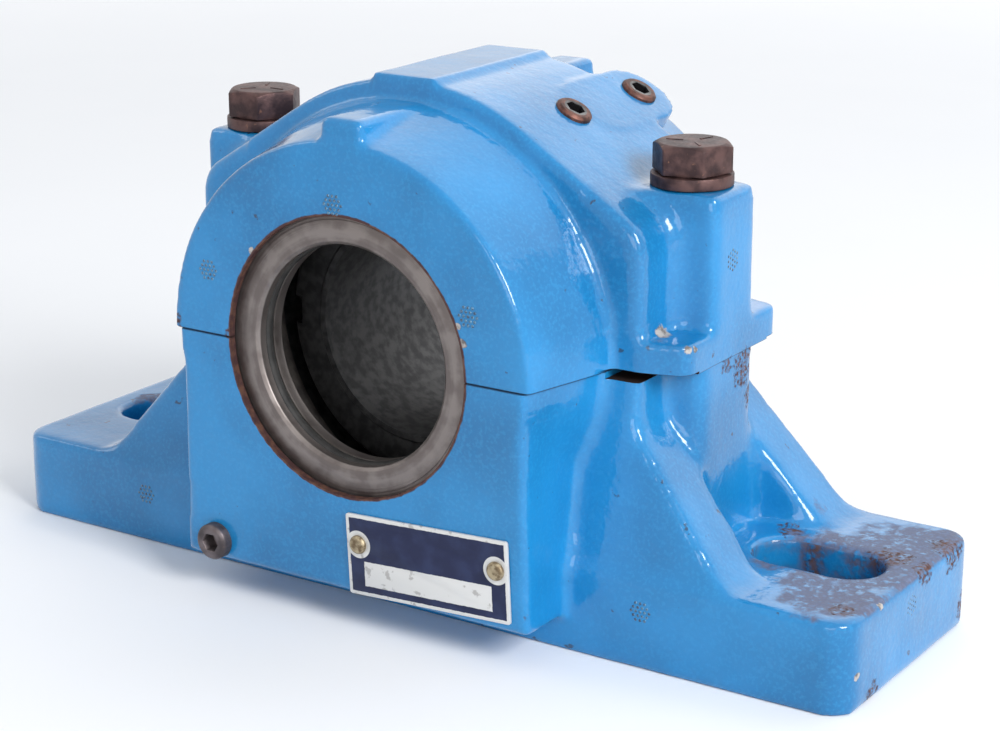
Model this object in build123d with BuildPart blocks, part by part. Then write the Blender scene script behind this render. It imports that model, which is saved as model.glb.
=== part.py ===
from build123d import *
import os
from math import asin, cos, degrees, radians, sin, tan

os.makedirs("parts", exist_ok=True)

# Split plummer block: a cast housing in two halves for a 60 mm shaft, with a
# spherical roller bearing on an adapter sleeve and labyrinth seals at both ends.
# X runs along the base, Y along the shaft (the front face is at -Y), Z is up.
# The origin is the middle of the base's bottom face. Lengths are in millimetres.

# Base plate and its slots
base_length = 279.4
base_width = 79.4
foot_thickness = 25.4
foot_corner_radius = 8.2
foot_edge_radius = 1.6
slot_end_wall = 9.55
slot_travel = 17.45
slot_width = 19.0
slot_lip_radius = 0.9

# Body of the lower casting
centre_height = 76.2
end_face_spacing = 116.8
body_width_at_split = 112.6
body_width_at_underside = 115.4
underside_height = 9.7
body_edge_radius = 2.2

# Shoulders, columns and gussets that carry the cap bolts
shoulder_depth = 57.0
shoulder_reach = 73.0
shoulder_lean = 0.8
gusset_drop = 14.2
gusset_run = 31.5
gusset_crest_radius = 8.0
gusset_toe_radius = 10.0
base_column_stand_out = 11.1
base_column_width = 30.6
base_column_radius = 4.0

# Pockets between the gussets, over the slots
pocket_corner_radius = 3.5
pocket_waist_run = 14.9
pocket_waist_width = 34.0
pocket_waist_radius = 14.0
pocket_mouth_run = 33.9
pocket_mouth_width = 68.0
pocket_floor_radius = 3.0

# Cap: end barrel, band over the bearing, bolt lugs and their flanges
barrel_radius = 57.9
barrel_draft = 2.0
barrel_edge_radius = 2.2
band_radius = 70.0
band_slope_angle = 32.0
band_shoulder_radius = 11.0
band_edge_radius = 1.6
band_foot_radius = 7.0
bolt_seat_height = 45.3
cap_column_width = 23.0
cap_column_edge_radius = 2.0
cap_column_fillet = 6.0
lug_stand_out = 12.2
flange_thickness = 8.9
flange_end_width = 50.0
flange_corner_radius = 4.5
flange_edge_radius = 1.0
rib_width = 12.6
rib_height = 64.3
rib_bury = 4.0
rib_draft = 1.0
rib_edge_radius = 1.4
rib_end_setback = 0.6
pad_left = -11.5
pad_right = 8.4
pad_height = 71.0
pad_step = 2.6
pad_end_setback = 0.3

# Joint between the halves: prising gaps at the corners and dowel pins
prise_gap_base = 2.4
prise_gap_cap = 1.0
prise_land_width = 38.0
prise_inset = 9.5
dowel_diameter = 6.0
dowel_length = 16.0
dowel_inset = 5.0
dowel_y = 14.0
dowel_chamfer = 0.5
dowel_clearance = 0.02

# Cap bolts and their spring washers
bolt_inset = 1.5
bolt_diameter = 12.7
bolt_length = 69.85
bolt_hole_diameter = 13.5
bolt_head_across_flats = 19.05
bolt_head_height = 8.2
bolt_head_chamfer = 0.5
bolt_end_chamfer = 1.2
bolt_turn_left = 57.5
bolt_turn_right = 14.0
thread_clearance = 0.04
tapped_depth = 28.0
washer_outside = 22.1
washer_thickness = 3.2
washer_bore_clearance = 0.15
washer_slit = 1.4
washer_slit_angle = 25.0

# Screwed plugs
plug_diameter = 10.3
plug_length = 8.0
plug_proud = 1.2
plug_socket_across_flats = 4.8
plug_socket_depth = 4.5
plug_chamfer = 0.7
plug_tilt = 30.0
side_plug_y = 34.5
side_boss_radius = 11.2
side_boss_start = 14.0
grease_hole_diameter = 5.0
drain_plug_x = -46.2
drain_plug_z = 15.6
drain_plug_proud = 3.0

# Nameplate and its two drive screws
plate_width = 52.0
plate_height = 22.9
plate_thickness = 0.8
plate_corner_radius = 0.8
plate_x = 26.6
plate_drop = 53.0
plate_turn = 2.7
rivet_head_radius = 2.6
rivet_head_height = 1.2
rivet_head_rounding = 0.96
rivet_shank_radius = 1.4
rivet_length = 7.0
rivet_inset = 3.8
rivet_rise = 3.0
rivet_clearance = 0.02

# Bearing, 65 x 120 x 31 with a tapered bore
bearing_outside = 120.0
bearing_width = 31.0
bearing_bore = 65.0
taper_ratio = 12.0
raceway_sphere_radius = 53.8
roller_diameter = 14.0
roller_length = 11.6
roller_crown_radius = 53.0
roller_count = 18
roller_centre_y = 8.2
rolling_clearance = 0.08
inner_land_radius = 41.0
inner_lip_width = 1.2
oil_groove_width = 6.0
oil_groove_depth = 1.0
oil_hole_diameter = 3.0
oil_hole_count = 3
outer_ring_chamfer = 1.2
raceway_ease = 0.6
guide_ring_outside = 91.0
guide_ring_clearance = 0.08
guide_ring_edge_gap = 0.3
cage_thickness = 1.8
cage_pocket_clearance = 0.25
cage_rim = 1.0
stabilising_ring_width = 10.0
stabilising_ring_inside = 103.0
stabilising_ring_gap_angle = 50.0
seat_clearance = 0.02
seat_end_clearance = 0.05

# Adapter sleeve, lock nut and tabbed washer
shaft_diameter = 60.0
sleeve_length = 50.0
sleeve_slit = 4.0
sleeve_chamfer = 0.8
sleeve_end_past_nut = 1.0
sleeve_clearance = 0.02
nut_outside = 85.0
nut_width = 14.0
nut_notch_width = 8.0
nut_notch_depth = 3.5
nut_notch_count = 4
nut_chamfer = 1.5
tab_washer_thickness = 1.5
tab_washer_root = 77.0
tab_washer_outside = 92.0
tab_count = 19
tab_width = 6.6
inner_tab_width = 3.6
inner_tab_reach = 2.1
bent_tab_gap = 0.3
bent_tab_height = 6.0

# Labyrinth seals
seal_bore_diameter = 77.0
seal_wall = 12.4
groove_diameter = 89.0
groove_width = 3.2
groove_land = 2.0
seal_face_setback = 2.2
seal_outside = 74.6
seal_inside = 61.0
seal_chamfer = 1.0
seal_axial_gap = 0.4
seal_radial_gap = 0.6
o_ring_section = 3.4
o_ring_clearance = 0.02
o_ring_shaft_gap = 0.08
chamber_radius = 50.0

# Oil sump below the bearing
sump_width = 97.0
sump_floor = 17.0
sump_rib = 6.5
sump_corner_radius = 10.0

# Worked out from the sizes above
face_y = end_face_spacing / 2
shoulder_y = shoulder_depth / 2
slot_centre = base_length / 2 - slot_end_wall - (slot_width + slot_travel) / 2
base_column_reach = shoulder_reach + base_column_stand_out
lug_reach = shoulder_reach + lug_stand_out
bolt_x = shoulder_reach - bolt_inset
dowel_x = bolt_x - dowel_inset
prise_start = shoulder_reach - prise_inset
plate_z = centre_height - plate_drop
seat_radius = bearing_outside / 2 + seat_clearance
seat_half_width = (bearing_width + stabilising_ring_width) / 2 + seat_end_clearance
bearing_y = stabilising_ring_width / 2
chamber_end = face_y - seal_wall
shaft_centre = (0, 0, centre_height)
shaft_axis = Axis(shaft_centre, (0, 1, 0))
radial_plane = Plane(origin=shaft_centre, x_dir=(0, 1, 0), z_dir=(1, 0, 0))
split_plane = Plane.XY.offset(centre_height)
band_half_angle = radians(band_slope_angle)


def write(piece, name):
    """Label one finished piece and write it as parts/name.step."""
    piece.part.label = name
    export_step(piece.part, f"parts/{name}.step")


def seal_groove_starts():
    """Return how far from the middle each labyrinth groove starts, inner groove first."""
    inner = chamber_end + groove_land
    return [inner, inner + groove_width + groove_land]


# The empty space inside both castings, one body of revolution about the shaft
core_half = [(0, seat_radius), (seat_half_width, seat_radius), (seat_half_width, chamber_radius)]
core_half.append((chamber_end, chamber_radius))
core_half.append((chamber_end, seal_bore_diameter / 2))
for start in seal_groove_starts():
    core_half.append((start, seal_bore_diameter / 2))
    core_half.append((start, groove_diameter / 2))
    core_half.append((start + groove_width, groove_diameter / 2))
    core_half.append((start + groove_width, seal_bore_diameter / 2))
core_half.append((face_y + 1, seal_bore_diameter / 2))
core_half.append((face_y + 1, 0))
with BuildPart() as core:
    with BuildSketch(radial_plane):
        with BuildLine():
            Polyline(*core_half, *[(-y, r) for y, r in reversed(core_half)], close=True)
        make_face()
    revolve(axis=shaft_axis)

# The space between two gussets, rounded where its walls meet each other and its floor
with BuildPart() as pocket_cut:
    with BuildSketch(Plane.XY.offset(foot_thickness)) as mouth:
        waist_reach = base_column_reach + pocket_waist_run
        mouth_reach = base_column_reach + pocket_mouth_run
        with BuildLine():
            half = [
                (base_column_reach, base_column_width / 2),
                (waist_reach, pocket_waist_width / 2),
                (mouth_reach, pocket_mouth_width / 2),
            ]
            Polyline(*half, *[(x, -y) for x, y in reversed(half)], close=True)
        make_face()
        fillet(mouth.vertices().filter_by(lambda v: abs(v.X - waist_reach) < 0.01), pocket_waist_radius)
        fillet(mouth.vertices().group_by(Axis.X)[0], pocket_corner_radius)
    extrude(amount=centre_height)
    floor = pocket_cut.faces().sort_by(Axis.Z)[0]
    fillet(floor.edges().filter_by(lambda e: e.center().X < mouth_reach - 0.01), pocket_floor_radius)
    mirror(about=Plane.YZ)

# Gussets and shoulders of the lower casting: a front view cut to a side view
with BuildPart() as shoulders:
    with BuildSketch(Plane.XZ) as front_view:
        with BuildLine():
            toe_reach = shoulder_reach + gusset_run
            toe_end = toe_reach + gusset_toe_radius / 2
            crest_height = centre_height - gusset_drop
            right = [
                (toe_end, foot_thickness / 2),
                (toe_end, foot_thickness),
                (toe_reach, foot_thickness),
                (shoulder_reach + shoulder_lean, crest_height),
                (shoulder_reach, centre_height),
            ]
            Polyline(*right, *[(-x, z) for x, z in reversed(right)], close=True)
        make_face()
        toes = front_view.vertices().filter_by(lambda v: abs(abs(v.X) - toe_reach) < 0.01)
        fillet(toes, gusset_toe_radius)
        crests = front_view.vertices().filter_by(lambda v: abs(v.Y - crest_height) < 0.01)
        fillet(crests, gusset_crest_radius)
    extrude(amount=base_width / 2, both=True)
    with BuildSketch(Plane.YZ):
        with BuildLine():
            side_foot = base_width / 2 - foot_edge_radius
            side = [(side_foot, 0), (side_foot, foot_thickness), (shoulder_y, centre_height)]
            Polyline(*side, *[(-y, z) for y, z in reversed(side)], close=True)
        make_face()
    extrude(amount=base_length / 2, both=True, mode=Mode.INTERSECT)
    add(pocket_cut.part, mode=Mode.SUBTRACT)

# The foot
with BuildPart() as foot:
    with BuildSketch():
        RectangleRounded(base_length, base_width, foot_corner_radius)
    extrude(amount=foot_thickness)
    fillet(foot.faces().sort_by(Axis.Z)[-1].edges(), foot_edge_radius)

# Lower casting
with BuildPart() as base_housing:
    with BuildSketch(Plane.XZ):
        with BuildLine():
            Polyline(
                (-body_width_at_underside / 2, underside_height),
                (body_width_at_underside / 2, underside_height),
                (body_width_at_split / 2, centre_height),
                (-body_width_at_split / 2, centre_height),
                close=True,
            )
        make_face()
    extrude(amount=face_y, both=True)
    for end_face in (base_housing.faces().sort_by(Axis.Y)[0], base_housing.faces().sort_by(Axis.Y)[-1]):
        rounded = end_face.edges().filter_by(lambda e: e.center().Z < centre_height - 1)
        fillet(rounded, body_edge_radius)
    add(shoulders.part)
    with BuildSketch(Plane.XY.offset(foot_thickness / 2)):
        RectangleRounded(2 * base_column_reach, base_column_width, base_column_radius)
    extrude(amount=centre_height - foot_thickness / 2)
    add(foot.part)
    add(core.part, mode=Mode.SUBTRACT)
    # Sump on each side of the bearing seat
    for side in (-1, 1):
        with BuildSketch(Plane.XZ.offset(side * (seat_half_width + sump_rib))) as sump:
            with Locations((0, sump_floor + centre_height / 2)):
                RectangleRounded(sump_width, centre_height, sump_corner_radius)
        extrude(amount=side * (chamber_end - seat_half_width - sump_rib), mode=Mode.SUBTRACT)
    # Slots for the holding-down bolts
    with BuildSketch() as slots:
        with Locations((-slot_centre, 0), (slot_centre, 0)):
            SlotCenterToCenter(slot_travel, slot_width)
    extrude(amount=foot_thickness, mode=Mode.SUBTRACT)
    slot_half = (slot_travel + slot_width) / 2
    lips = base_housing.edges().filter_by(
        lambda e: abs((e @ 0).Z - foot_thickness) < 0.01
        and abs((e @ 1).Z - foot_thickness) < 0.01
        and abs(e.center().Y) < slot_width / 2 + 0.01
        and abs(abs(e.center().X) - slot_centre) < slot_half + 0.01
    )
    fillet(lips, slot_lip_radius)
    # Prising gaps at the four corners of the joint
    with BuildSketch(split_plane):
        gap_y = base_width / 2
        with Locations(*[(sx * (prise_start + gap_y / 2), sy * (prise_land_width + gap_y) / 2)
                         for sx in (-1, 1) for sy in (-1, 1)]):
            Rectangle(gap_y, gap_y)
    extrude(amount=-prise_gap_base, mode=Mode.SUBTRACT)
    # Tapped holes for the cap bolts, and dowel holes
    with Locations(split_plane):
        with Locations((-bolt_x, 0), (bolt_x, 0)):
            Hole(bolt_diameter / 2 + thread_clearance, tapped_depth)
        with Locations((dowel_x, dowel_y), (-dowel_x, -dowel_y)):
            Hole(dowel_diameter / 2 + dowel_clearance, dowel_length / 2 + 1)
    # Drain hole and the two holes for the nameplate's drive screws
    drain_plane = Plane(origin=(drain_plug_x, -face_y, drain_plug_z), x_dir=(1, 0, 0), z_dir=(0, -1, 0))
    with Locations(drain_plane):
        Hole(plug_diameter / 2 + thread_clearance, plug_length - drain_plug_proud)
        Hole(grease_hole_diameter / 2, seal_wall + sump_rib)
    plate_plane = Plane(
        origin=(plate_x, -face_y, plate_z), x_dir=(cos(radians(plate_turn)), 0, sin(radians(plate_turn))),
        z_dir=(0, -1, 0),
    )
    rivet_x = plate_width / 2 - rivet_inset
    with Locations(plate_plane):
        with Locations((-rivet_x, rivet_rise), (rivet_x, rivet_rise)):
            Hole(rivet_shank_radius + rivet_clearance, rivet_length + 1)
write(base_housing, "base_housing")

# Upper casting
slope_end_height = (band_radius - shoulder_reach * sin(band_half_angle)) / cos(band_half_angle)
plug_plane = Plane(
    origin=(
        band_radius * sin(radians(plug_tilt)),
        0,
        centre_height + band_radius * cos(radians(plug_tilt)),
    ),
    x_dir=(0, 1, 0),
    z_dir=(sin(radians(plug_tilt)), 0, cos(radians(plug_tilt))),
)

# Flanges at the joint, softened along their top edges
with BuildPart() as flanges:
    with BuildSketch(split_plane) as flange:
        with BuildLine():
            half = [(0, shoulder_y), (shoulder_reach, shoulder_y), (lug_reach, flange_end_width / 2)]
            Polyline(*half, *[(x, -y) for x, y in reversed(half)], close=True)
        make_face()
        fillet(flange.vertices().filter_by(lambda v: v.X > lug_reach - 0.01), flange_corner_radius)
    extrude(amount=flange_thickness)
    free_edges = flanges.faces().sort_by(Axis.Z)[-1].edges().filter_by(
        lambda e: e.center().X > shoulder_reach and abs(e.center().Y) > cap_column_width / 2
    )
    fillet(free_edges, flange_edge_radius)
    mirror(about=Plane.YZ)

with BuildPart() as cap_housing:
    # Band over the bearing
    with BuildSketch(Plane.XZ) as band:
        with BuildLine():
            crown = CenterArc((0, centre_height), band_radius, 90 - band_slope_angle, 2 * band_slope_angle)
            Polyline(
                crown @ 0,
                (shoulder_reach, centre_height + slope_end_height),
                (shoulder_reach, centre_height),
                (-shoulder_reach, centre_height),
                (-shoulder_reach, centre_height + slope_end_height),
                crown @ 1,
            )
        make_face()
        corners = band.vertices().filter_by(
            lambda v: abs(abs(v.X) - shoulder_reach) < 0.01 and v.Y > centre_height + 1
        )
        fillet(corners, band_shoulder_radius)
    extrude(amount=shoulder_y, both=True)
    # Columns up to the bolt seats, run into the band with a large fillet
    with BuildSketch(split_plane):
        RectangleRounded(2 * lug_reach, cap_column_width, cap_column_edge_radius)
    extrude(amount=bolt_seat_height)
    seat_z = centre_height + bolt_seat_height
    hollows = cap_housing.edges().filter_by(
        lambda e: abs(abs(e.center().Y) - cap_column_width / 2) < 0.01
        and abs(e.center().X) < shoulder_reach + 0.01
        and centre_height + 1 < e.center().Z < seat_z - 0.5
    )
    fillet(hollows, cap_column_fillet)
    outline = cap_housing.edges().filter_by(
        lambda e: abs(abs(e.center().Y) - shoulder_y) < 0.01 and e.center().Z > centre_height + 1
    )
    fillet(outline, band_edge_radius)
    # Barrel over the seals
    with BuildSketch(radial_plane) as barrel:
        with BuildLine():
            barrel_foot = barrel_radius + barrel_draft
            half = [
                (face_y, 0),
                (face_y, barrel_radius),
                (shoulder_y, barrel_foot),
                (shoulder_y, band_radius - 2 * band_edge_radius),
            ]
            Polyline(*half, *[(-y, r) for y, r in reversed(half)], close=True)
        make_face()
        rims = barrel.vertices().filter_by(lambda v: abs(v.X) > face_y - 0.01)
        fillet(rims.filter_by(lambda v: v.Y > 1), barrel_edge_radius)
        fillet(barrel.vertices().filter_by(lambda v: abs(v.Y - barrel_foot) < 0.01), band_foot_radius)
    revolve(axis=shaft_axis)
    split(bisect_by=split_plane, keep=Keep.TOP)
    # Rib on top of the barrel, and the flat pad on top of the band
    with BuildSketch(Plane.XZ) as rib:
        with BuildLine():
            rib_foot = centre_height + barrel_radius - rib_bury
            rib_top = centre_height + rib_height
            Polyline(
                (-rib_width / 2 - rib_draft, rib_foot),
                (rib_width / 2 + rib_draft, rib_foot),
                (rib_width / 2, rib_top),
                (-rib_width / 2, rib_top),
                close=True,
            )
        make_face()
        fillet(rib.vertices().filter_by(lambda v: v.Y > rib_top - 0.01), rib_edge_radius)
    extrude(amount=face_y - rib_end_setback, both=True)
    with BuildSketch(Plane.XZ) as pad:
        with BuildLine():
            pad_top = centre_height + pad_height
            Polyline(
                (pad_left, centre_height + seat_radius),
                (pad_right + pad_step, centre_height + seat_radius),
                (pad_right + pad_step, pad_top - pad_step),
                (pad_right, pad_top),
                (pad_left, pad_top),
                close=True,
            )
        make_face()
    extrude(amount=shoulder_y - pad_end_setback, both=True)
    add(flanges.part)
    # Boss of the side grease plug
    with BuildSketch(plug_plane):
        with Locations(((side_boss_start + side_plug_y) / 2, 0)):
            SlotCenterToCenter(side_plug_y - side_boss_start, 2 * side_boss_radius)
    extrude(amount=-(band_radius - chamber_radius))
    add(core.part, mode=Mode.SUBTRACT)
    # Prising gaps
    with BuildSketch(split_plane):
        with Locations(*[(sx * (prise_start + gap_y / 2), sy * (prise_land_width + gap_y) / 2)
                         for sx in (-1, 1) for sy in (-1, 1)]):
            Rectangle(gap_y, gap_y)
    extrude(amount=prise_gap_cap, mode=Mode.SUBTRACT)
    # Bolt holes, dowel holes and plug holes
    with Locations(split_plane.offset(bolt_seat_height)):
        with Locations((-bolt_x, 0), (bolt_x, 0)):
            Hole(bolt_hole_diameter / 2, bolt_seat_height)
    with BuildSketch(split_plane):
        with Locations((dowel_x, dowel_y), (-dowel_x, -dowel_y)):
            Circle(dowel_diameter / 2 + dowel_clearance)
    extrude(amount=dowel_length / 2 + 1, mode=Mode.SUBTRACT)
    with Locations(plug_plane):
        with Locations((0, 0), (side_plug_y, 0)):
            Hole(plug_diameter / 2 + thread_clearance, plug_length - plug_proud)
            Hole(grease_hole_diameter / 2, band_radius - chamber_radius + 4)
write(cap_housing, "cap_housing")

# Cap bolts, each with a chamfered hexagon head on a plain shank
head_corner = bolt_head_across_flats / 2 / cos(radians(30))
head_top_radius = bolt_head_across_flats / 2 - bolt_head_chamfer
for name, x, turn in (("left", -bolt_x, bolt_turn_left), ("right", bolt_x, bolt_turn_right)):
    with BuildPart() as cap_bolt:
        with BuildSketch(Plane.XY.offset(seat_z + washer_thickness)):
            with Locations((x, 0)):
                RegularPolygon(bolt_head_across_flats / 2, 6, major_radius=False, rotation=turn)
        extrude(amount=bolt_head_height)
        # The corners are turned off at 30 degrees
        with BuildSketch(Plane(origin=(x, 0, seat_z + washer_thickness), x_dir=(1, 0, 0), z_dir=(0, -1, 0))):
            with BuildLine():
                Polyline(
                    (0, 0),
                    (head_corner, 0),
                    (head_corner, bolt_head_height - (head_corner - head_top_radius) * tan(radians(30))),
                    (head_top_radius, bolt_head_height),
                    (0, bolt_head_height),
                    close=True,
                )
            make_face()
        revolve(axis=Axis((x, 0, 0), (0, 0, 1)), mode=Mode.INTERSECT)
        with BuildSketch(Plane.XY.offset(seat_z + washer_thickness)):
            with Locations((x, 0)):
                Circle(bolt_diameter / 2)
        extrude(amount=-bolt_length)
        chamfer(cap_bolt.faces().sort_by(Axis.Z)[0].edges(), bolt_end_chamfer)
    write(cap_bolt, f"cap_bolt_{name}")

    with BuildPart() as lock_washer:
        with BuildSketch(Plane.XY.offset(seat_z)):
            with Locations((x, 0)):
                Circle(washer_outside / 2)
                Circle(bolt_diameter / 2 + washer_bore_clearance, mode=Mode.SUBTRACT)
        extrude(amount=washer_thickness)
        slit_plane = Plane(
            origin=(x, 0, seat_z + washer_thickness / 2),
            x_dir=(0, 1, 0),
            z_dir=(-cos(radians(washer_slit_angle)), 0, sin(radians(washer_slit_angle))),
        )
        with BuildSketch(slit_plane):
            with Locations((washer_outside / 4, 0)):
                Rectangle(washer_outside / 2, 2 * washer_thickness)
        extrude(amount=washer_slit / 2, both=True, mode=Mode.SUBTRACT)
    write(lock_washer, f"lock_washer_{name}")

# Dowel pins that line the two castings up
for name, sign in (("right", 1), ("left", -1)):
    with BuildPart() as dowel_pin:
        with BuildSketch(split_plane):
            with Locations((sign * dowel_x, sign * dowel_y)):
                Circle(dowel_diameter / 2)
        extrude(amount=dowel_length / 2, both=True)
        chamfer(dowel_pin.edges().filter_by(GeomType.CIRCLE), dowel_chamfer)
    write(dowel_pin, f"dowel_pin_{name}")

# Screwed plugs with a hexagon socket
side_plug_origin = plug_plane.from_local_coords((side_plug_y, 0, 0))
side_plug_plane = Plane(origin=side_plug_origin, x_dir=plug_plane.x_dir, z_dir=plug_plane.z_dir)
plugs = (
    ("grease_plug_centre", plug_plane, plug_proud),
    ("grease_plug_side", side_plug_plane, plug_proud),
    ("drain_plug", drain_plane, drain_plug_proud),
)
for name, plane, proud in plugs:
    with BuildPart() as plug:
        with BuildSketch(plane.offset(proud)):
            Circle(plug_diameter / 2)
        extrude(amount=-plug_length)
        outer = plug.faces().sort_by(lambda f: (f.center() - plane.origin).dot(plane.z_dir))[-1]
        chamfer(outer.edges(), plug_chamfer)
        with BuildSketch(plane.offset(proud)):
            RegularPolygon(plug_socket_across_flats / 2, 6, major_radius=False)
        extrude(amount=-plug_socket_depth, mode=Mode.SUBTRACT)
    write(plug, name)

# Nameplate, left blank, and its drive screws
with BuildPart() as nameplate:
    with BuildSketch(plate_plane):
        RectangleRounded(plate_width, plate_height, plate_corner_radius)
        with Locations((-rivet_x, rivet_rise), (rivet_x, rivet_rise)):
            Circle(rivet_shank_radius + rivet_clearance, mode=Mode.SUBTRACT)
    extrude(amount=plate_thickness)
write(nameplate, "nameplate")

for name, sign in (("left", -1), ("right", 1)):
    with BuildPart() as rivet:
        with BuildSketch(plate_plane.offset(plate_thickness)):
            with Locations((sign * rivet_x, rivet_rise)):
                Circle(rivet_shank_radius)
        extrude(amount=-rivet_length)
        with BuildSketch(plate_plane.offset(plate_thickness)):
            with Locations((sign * rivet_x, rivet_rise)):
                Circle(rivet_head_radius)
        extrude(amount=rivet_head_height)
        fillet(rivet.faces().sort_by(Axis.Y)[0].edges(), rivet_head_rounding)
    write(rivet, f"nameplate_rivet_{name}")

# Labyrinth seal rings, each with two fins that run in the grooves, and an O-ring inside
seal_face = face_y - seal_face_setback
fin_radius = groove_diameter / 2 - seal_radial_gap
o_ring_y = (chamber_end + seal_face) / 2
o_ring_radius = shaft_diameter / 2 + o_ring_shaft_gap + o_ring_section / 2
o_ring_groove_width = o_ring_section + 2 * o_ring_clearance
o_ring_groove_depth = o_ring_radius + o_ring_section / 2 + o_ring_clearance - seal_inside / 2
for name, sign in (("front", -1), ("rear", 1)):
    with BuildPart() as seal_ring:
        with BuildSketch(radial_plane) as section:
            with BuildLine():
                ring = [(chamber_end, seal_inside / 2), (chamber_end, seal_outside / 2)]
                for start in seal_groove_starts():
                    ring.append((start + seal_axial_gap, seal_outside / 2))
                    ring.append((start + seal_axial_gap, fin_radius))
                    ring.append((start + groove_width - seal_axial_gap, fin_radius))
                    ring.append((start + groove_width - seal_axial_gap, seal_outside / 2))
                ring.append((seal_face, seal_outside / 2))
                ring.append((seal_face, seal_inside / 2 + seal_chamfer))
                ring.append((seal_face - seal_chamfer, seal_inside / 2))
                Polyline(*[(sign * y, r) for y, r in ring], close=True)
            make_face()
            with Locations((sign * o_ring_y, seal_inside / 2)):
                Rectangle(o_ring_groove_width, 2 * o_ring_groove_depth, mode=Mode.SUBTRACT)
        revolve(axis=shaft_axis)
    write(seal_ring, f"seal_ring_{name}")

    with BuildPart() as o_ring:
        with BuildSketch(radial_plane):
            with Locations((sign * o_ring_y, o_ring_radius)):
                Circle(o_ring_section / 2)
        revolve(axis=shaft_axis)
    write(o_ring, f"o_ring_{name}")

# Spherical roller bearing: the rings, the rollers in two rows, a cage for each row
# and a floating guide ring between the rows
bearing_centre = (0, bearing_y, centre_height)
bearing_plane = Plane(origin=bearing_centre, x_dir=(0, 1, 0), z_dir=(1, 0, 0))
roller_radius = roller_diameter / 2
roller_distance = raceway_sphere_radius - rolling_clearance - roller_radius
contact_angle = asin(roller_centre_y / roller_distance)
pitch_radius = roller_distance * cos(contact_angle)

with BuildPart() as outer_ring:
    with BuildSketch(bearing_plane) as section:
        with Locations((0, bearing_outside / 4)):
            Rectangle(bearing_width, bearing_outside / 2)
        Circle(raceway_sphere_radius, mode=Mode.SUBTRACT)
        with Locations((0, bearing_outside / 2)):
            Rectangle(oil_groove_width, 2 * oil_groove_depth, mode=Mode.SUBTRACT)
        rims = section.vertices().filter_by(lambda v: abs(abs(v.X) - bearing_width / 2) < 0.01)
        chamfer(rims.filter_by(lambda v: v.Y > bearing_outside / 2 - 0.01), outer_ring_chamfer)
    revolve(axis=shaft_axis)
    for index in range(oil_hole_count):
        direction = Vector(0, 0, 1).rotate(Axis.Y, index * 360 / oil_hole_count)
        with BuildSketch(Plane(origin=bearing_centre, z_dir=direction)):
            Circle(oil_hole_diameter / 2)
        extrude(amount=bearing_outside / 2, mode=Mode.SUBTRACT)
write(outer_ring, "bearing_outer_ring")

# The inner raceways are hollowed by a circle a little larger than a roller's crown
raceway_depth = roller_distance - roller_radius - rolling_clearance
hollow_radius = roller_crown_radius + raceway_ease
hollow_y = (raceway_depth + hollow_radius) * sin(contact_angle)
hollow_r = (raceway_depth + hollow_radius) * cos(contact_angle)
small_bore = bearing_bore / 2
large_bore = small_bore + bearing_width / taper_ratio / 2
row_gap = roller_centre_y - roller_length / 2 * cos(contact_angle) - roller_radius * sin(contact_angle)
land = row_gap - guide_ring_edge_gap
raceway_width = bearing_width / 2 - inner_lip_width - land
with BuildPart() as inner_ring:
    with BuildSketch(bearing_plane):
        with BuildLine():
            Polyline(
                (-bearing_width / 2, small_bore),
                (-bearing_width / 2, inner_land_radius),
                (bearing_width / 2, inner_land_radius),
                (bearing_width / 2, large_bore),
                close=True,
            )
        make_face()
    revolve(axis=shaft_axis)
    for sign in (-1, 1):
        with BuildSketch(bearing_plane):
            with Locations((sign * hollow_y, hollow_r)):
                Circle(hollow_radius)
            with Locations((sign * (land + raceway_width / 2), inner_land_radius)):
                Rectangle(raceway_width, 0.4 * inner_land_radius, mode=Mode.INTERSECT)
        revolve(axis=shaft_axis, mode=Mode.SUBTRACT)
write(inner_ring, "bearing_inner_ring")

crown_drop = roller_crown_radius - (roller_crown_radius**2 - (roller_length / 2) ** 2) ** 0.5
with BuildPart() as roller:
    with BuildSketch(Plane.XZ) as half_roller:
        with BuildLine():
            Line((0, -roller_length / 2), (0, roller_length / 2))
            Line((0, roller_length / 2), (roller_radius - crown_drop, roller_length / 2))
            ThreePointArc(
                (roller_radius - crown_drop, roller_length / 2),
                (roller_radius, 0),
                (roller_radius - crown_drop, -roller_length / 2),
            )
            Line((roller_radius - crown_drop, -roller_length / 2), (0, -roller_length / 2))
        make_face()
    revolve(axis=Axis.Z)

with BuildPart() as pocket:
    Cylinder(roller_radius + cage_pocket_clearance, roller_length + 2 * cage_pocket_clearance)

# Each row has its own plane, whose normal points away from the other row
for name, sign in (("front", -1), ("rear", 1)):
    row_origin = (0, bearing_y + sign * roller_centre_y, centre_height)
    row_plane = Plane(origin=row_origin, x_dir=(1, 0, 0), z_dir=(0, sign, 0))
    tilt = (0, -degrees(contact_angle), 0)
    with BuildPart(row_plane) as roller_row:
        with PolarLocations(pitch_radius, roller_count):
            add(roller.part, rotation=tilt)
    write(roller_row, f"rollers_{name}_row")

    with BuildPart(row_plane) as cage:
        with BuildSketch(bearing_plane):
            with BuildLine():
                along = (sign * cos(contact_angle), -sin(contact_angle))
                across = (sign * sin(contact_angle), cos(contact_angle))
                reach = roller_length / 2 + cage_pocket_clearance + cage_rim
                inner = -(roller_length / 2 + cage_pocket_clearance + cage_rim * 0.5)
                corners = []
                for run, rise in ((inner, -1), (reach, -1), (reach, 1), (inner, 1)):
                    corners.append((
                        sign * roller_centre_y + run * along[0] + rise * cage_thickness / 2 * across[0],
                        pitch_radius + run * along[1] + rise * cage_thickness / 2 * across[1],
                    ))
                Polyline(*corners, close=True)
            make_face()
        revolve(axis=shaft_axis)
        with PolarLocations(pitch_radius, roller_count):
            add(pocket.part, rotation=tilt, mode=Mode.SUBTRACT)
    write(cage, f"cage_{name}")

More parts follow.
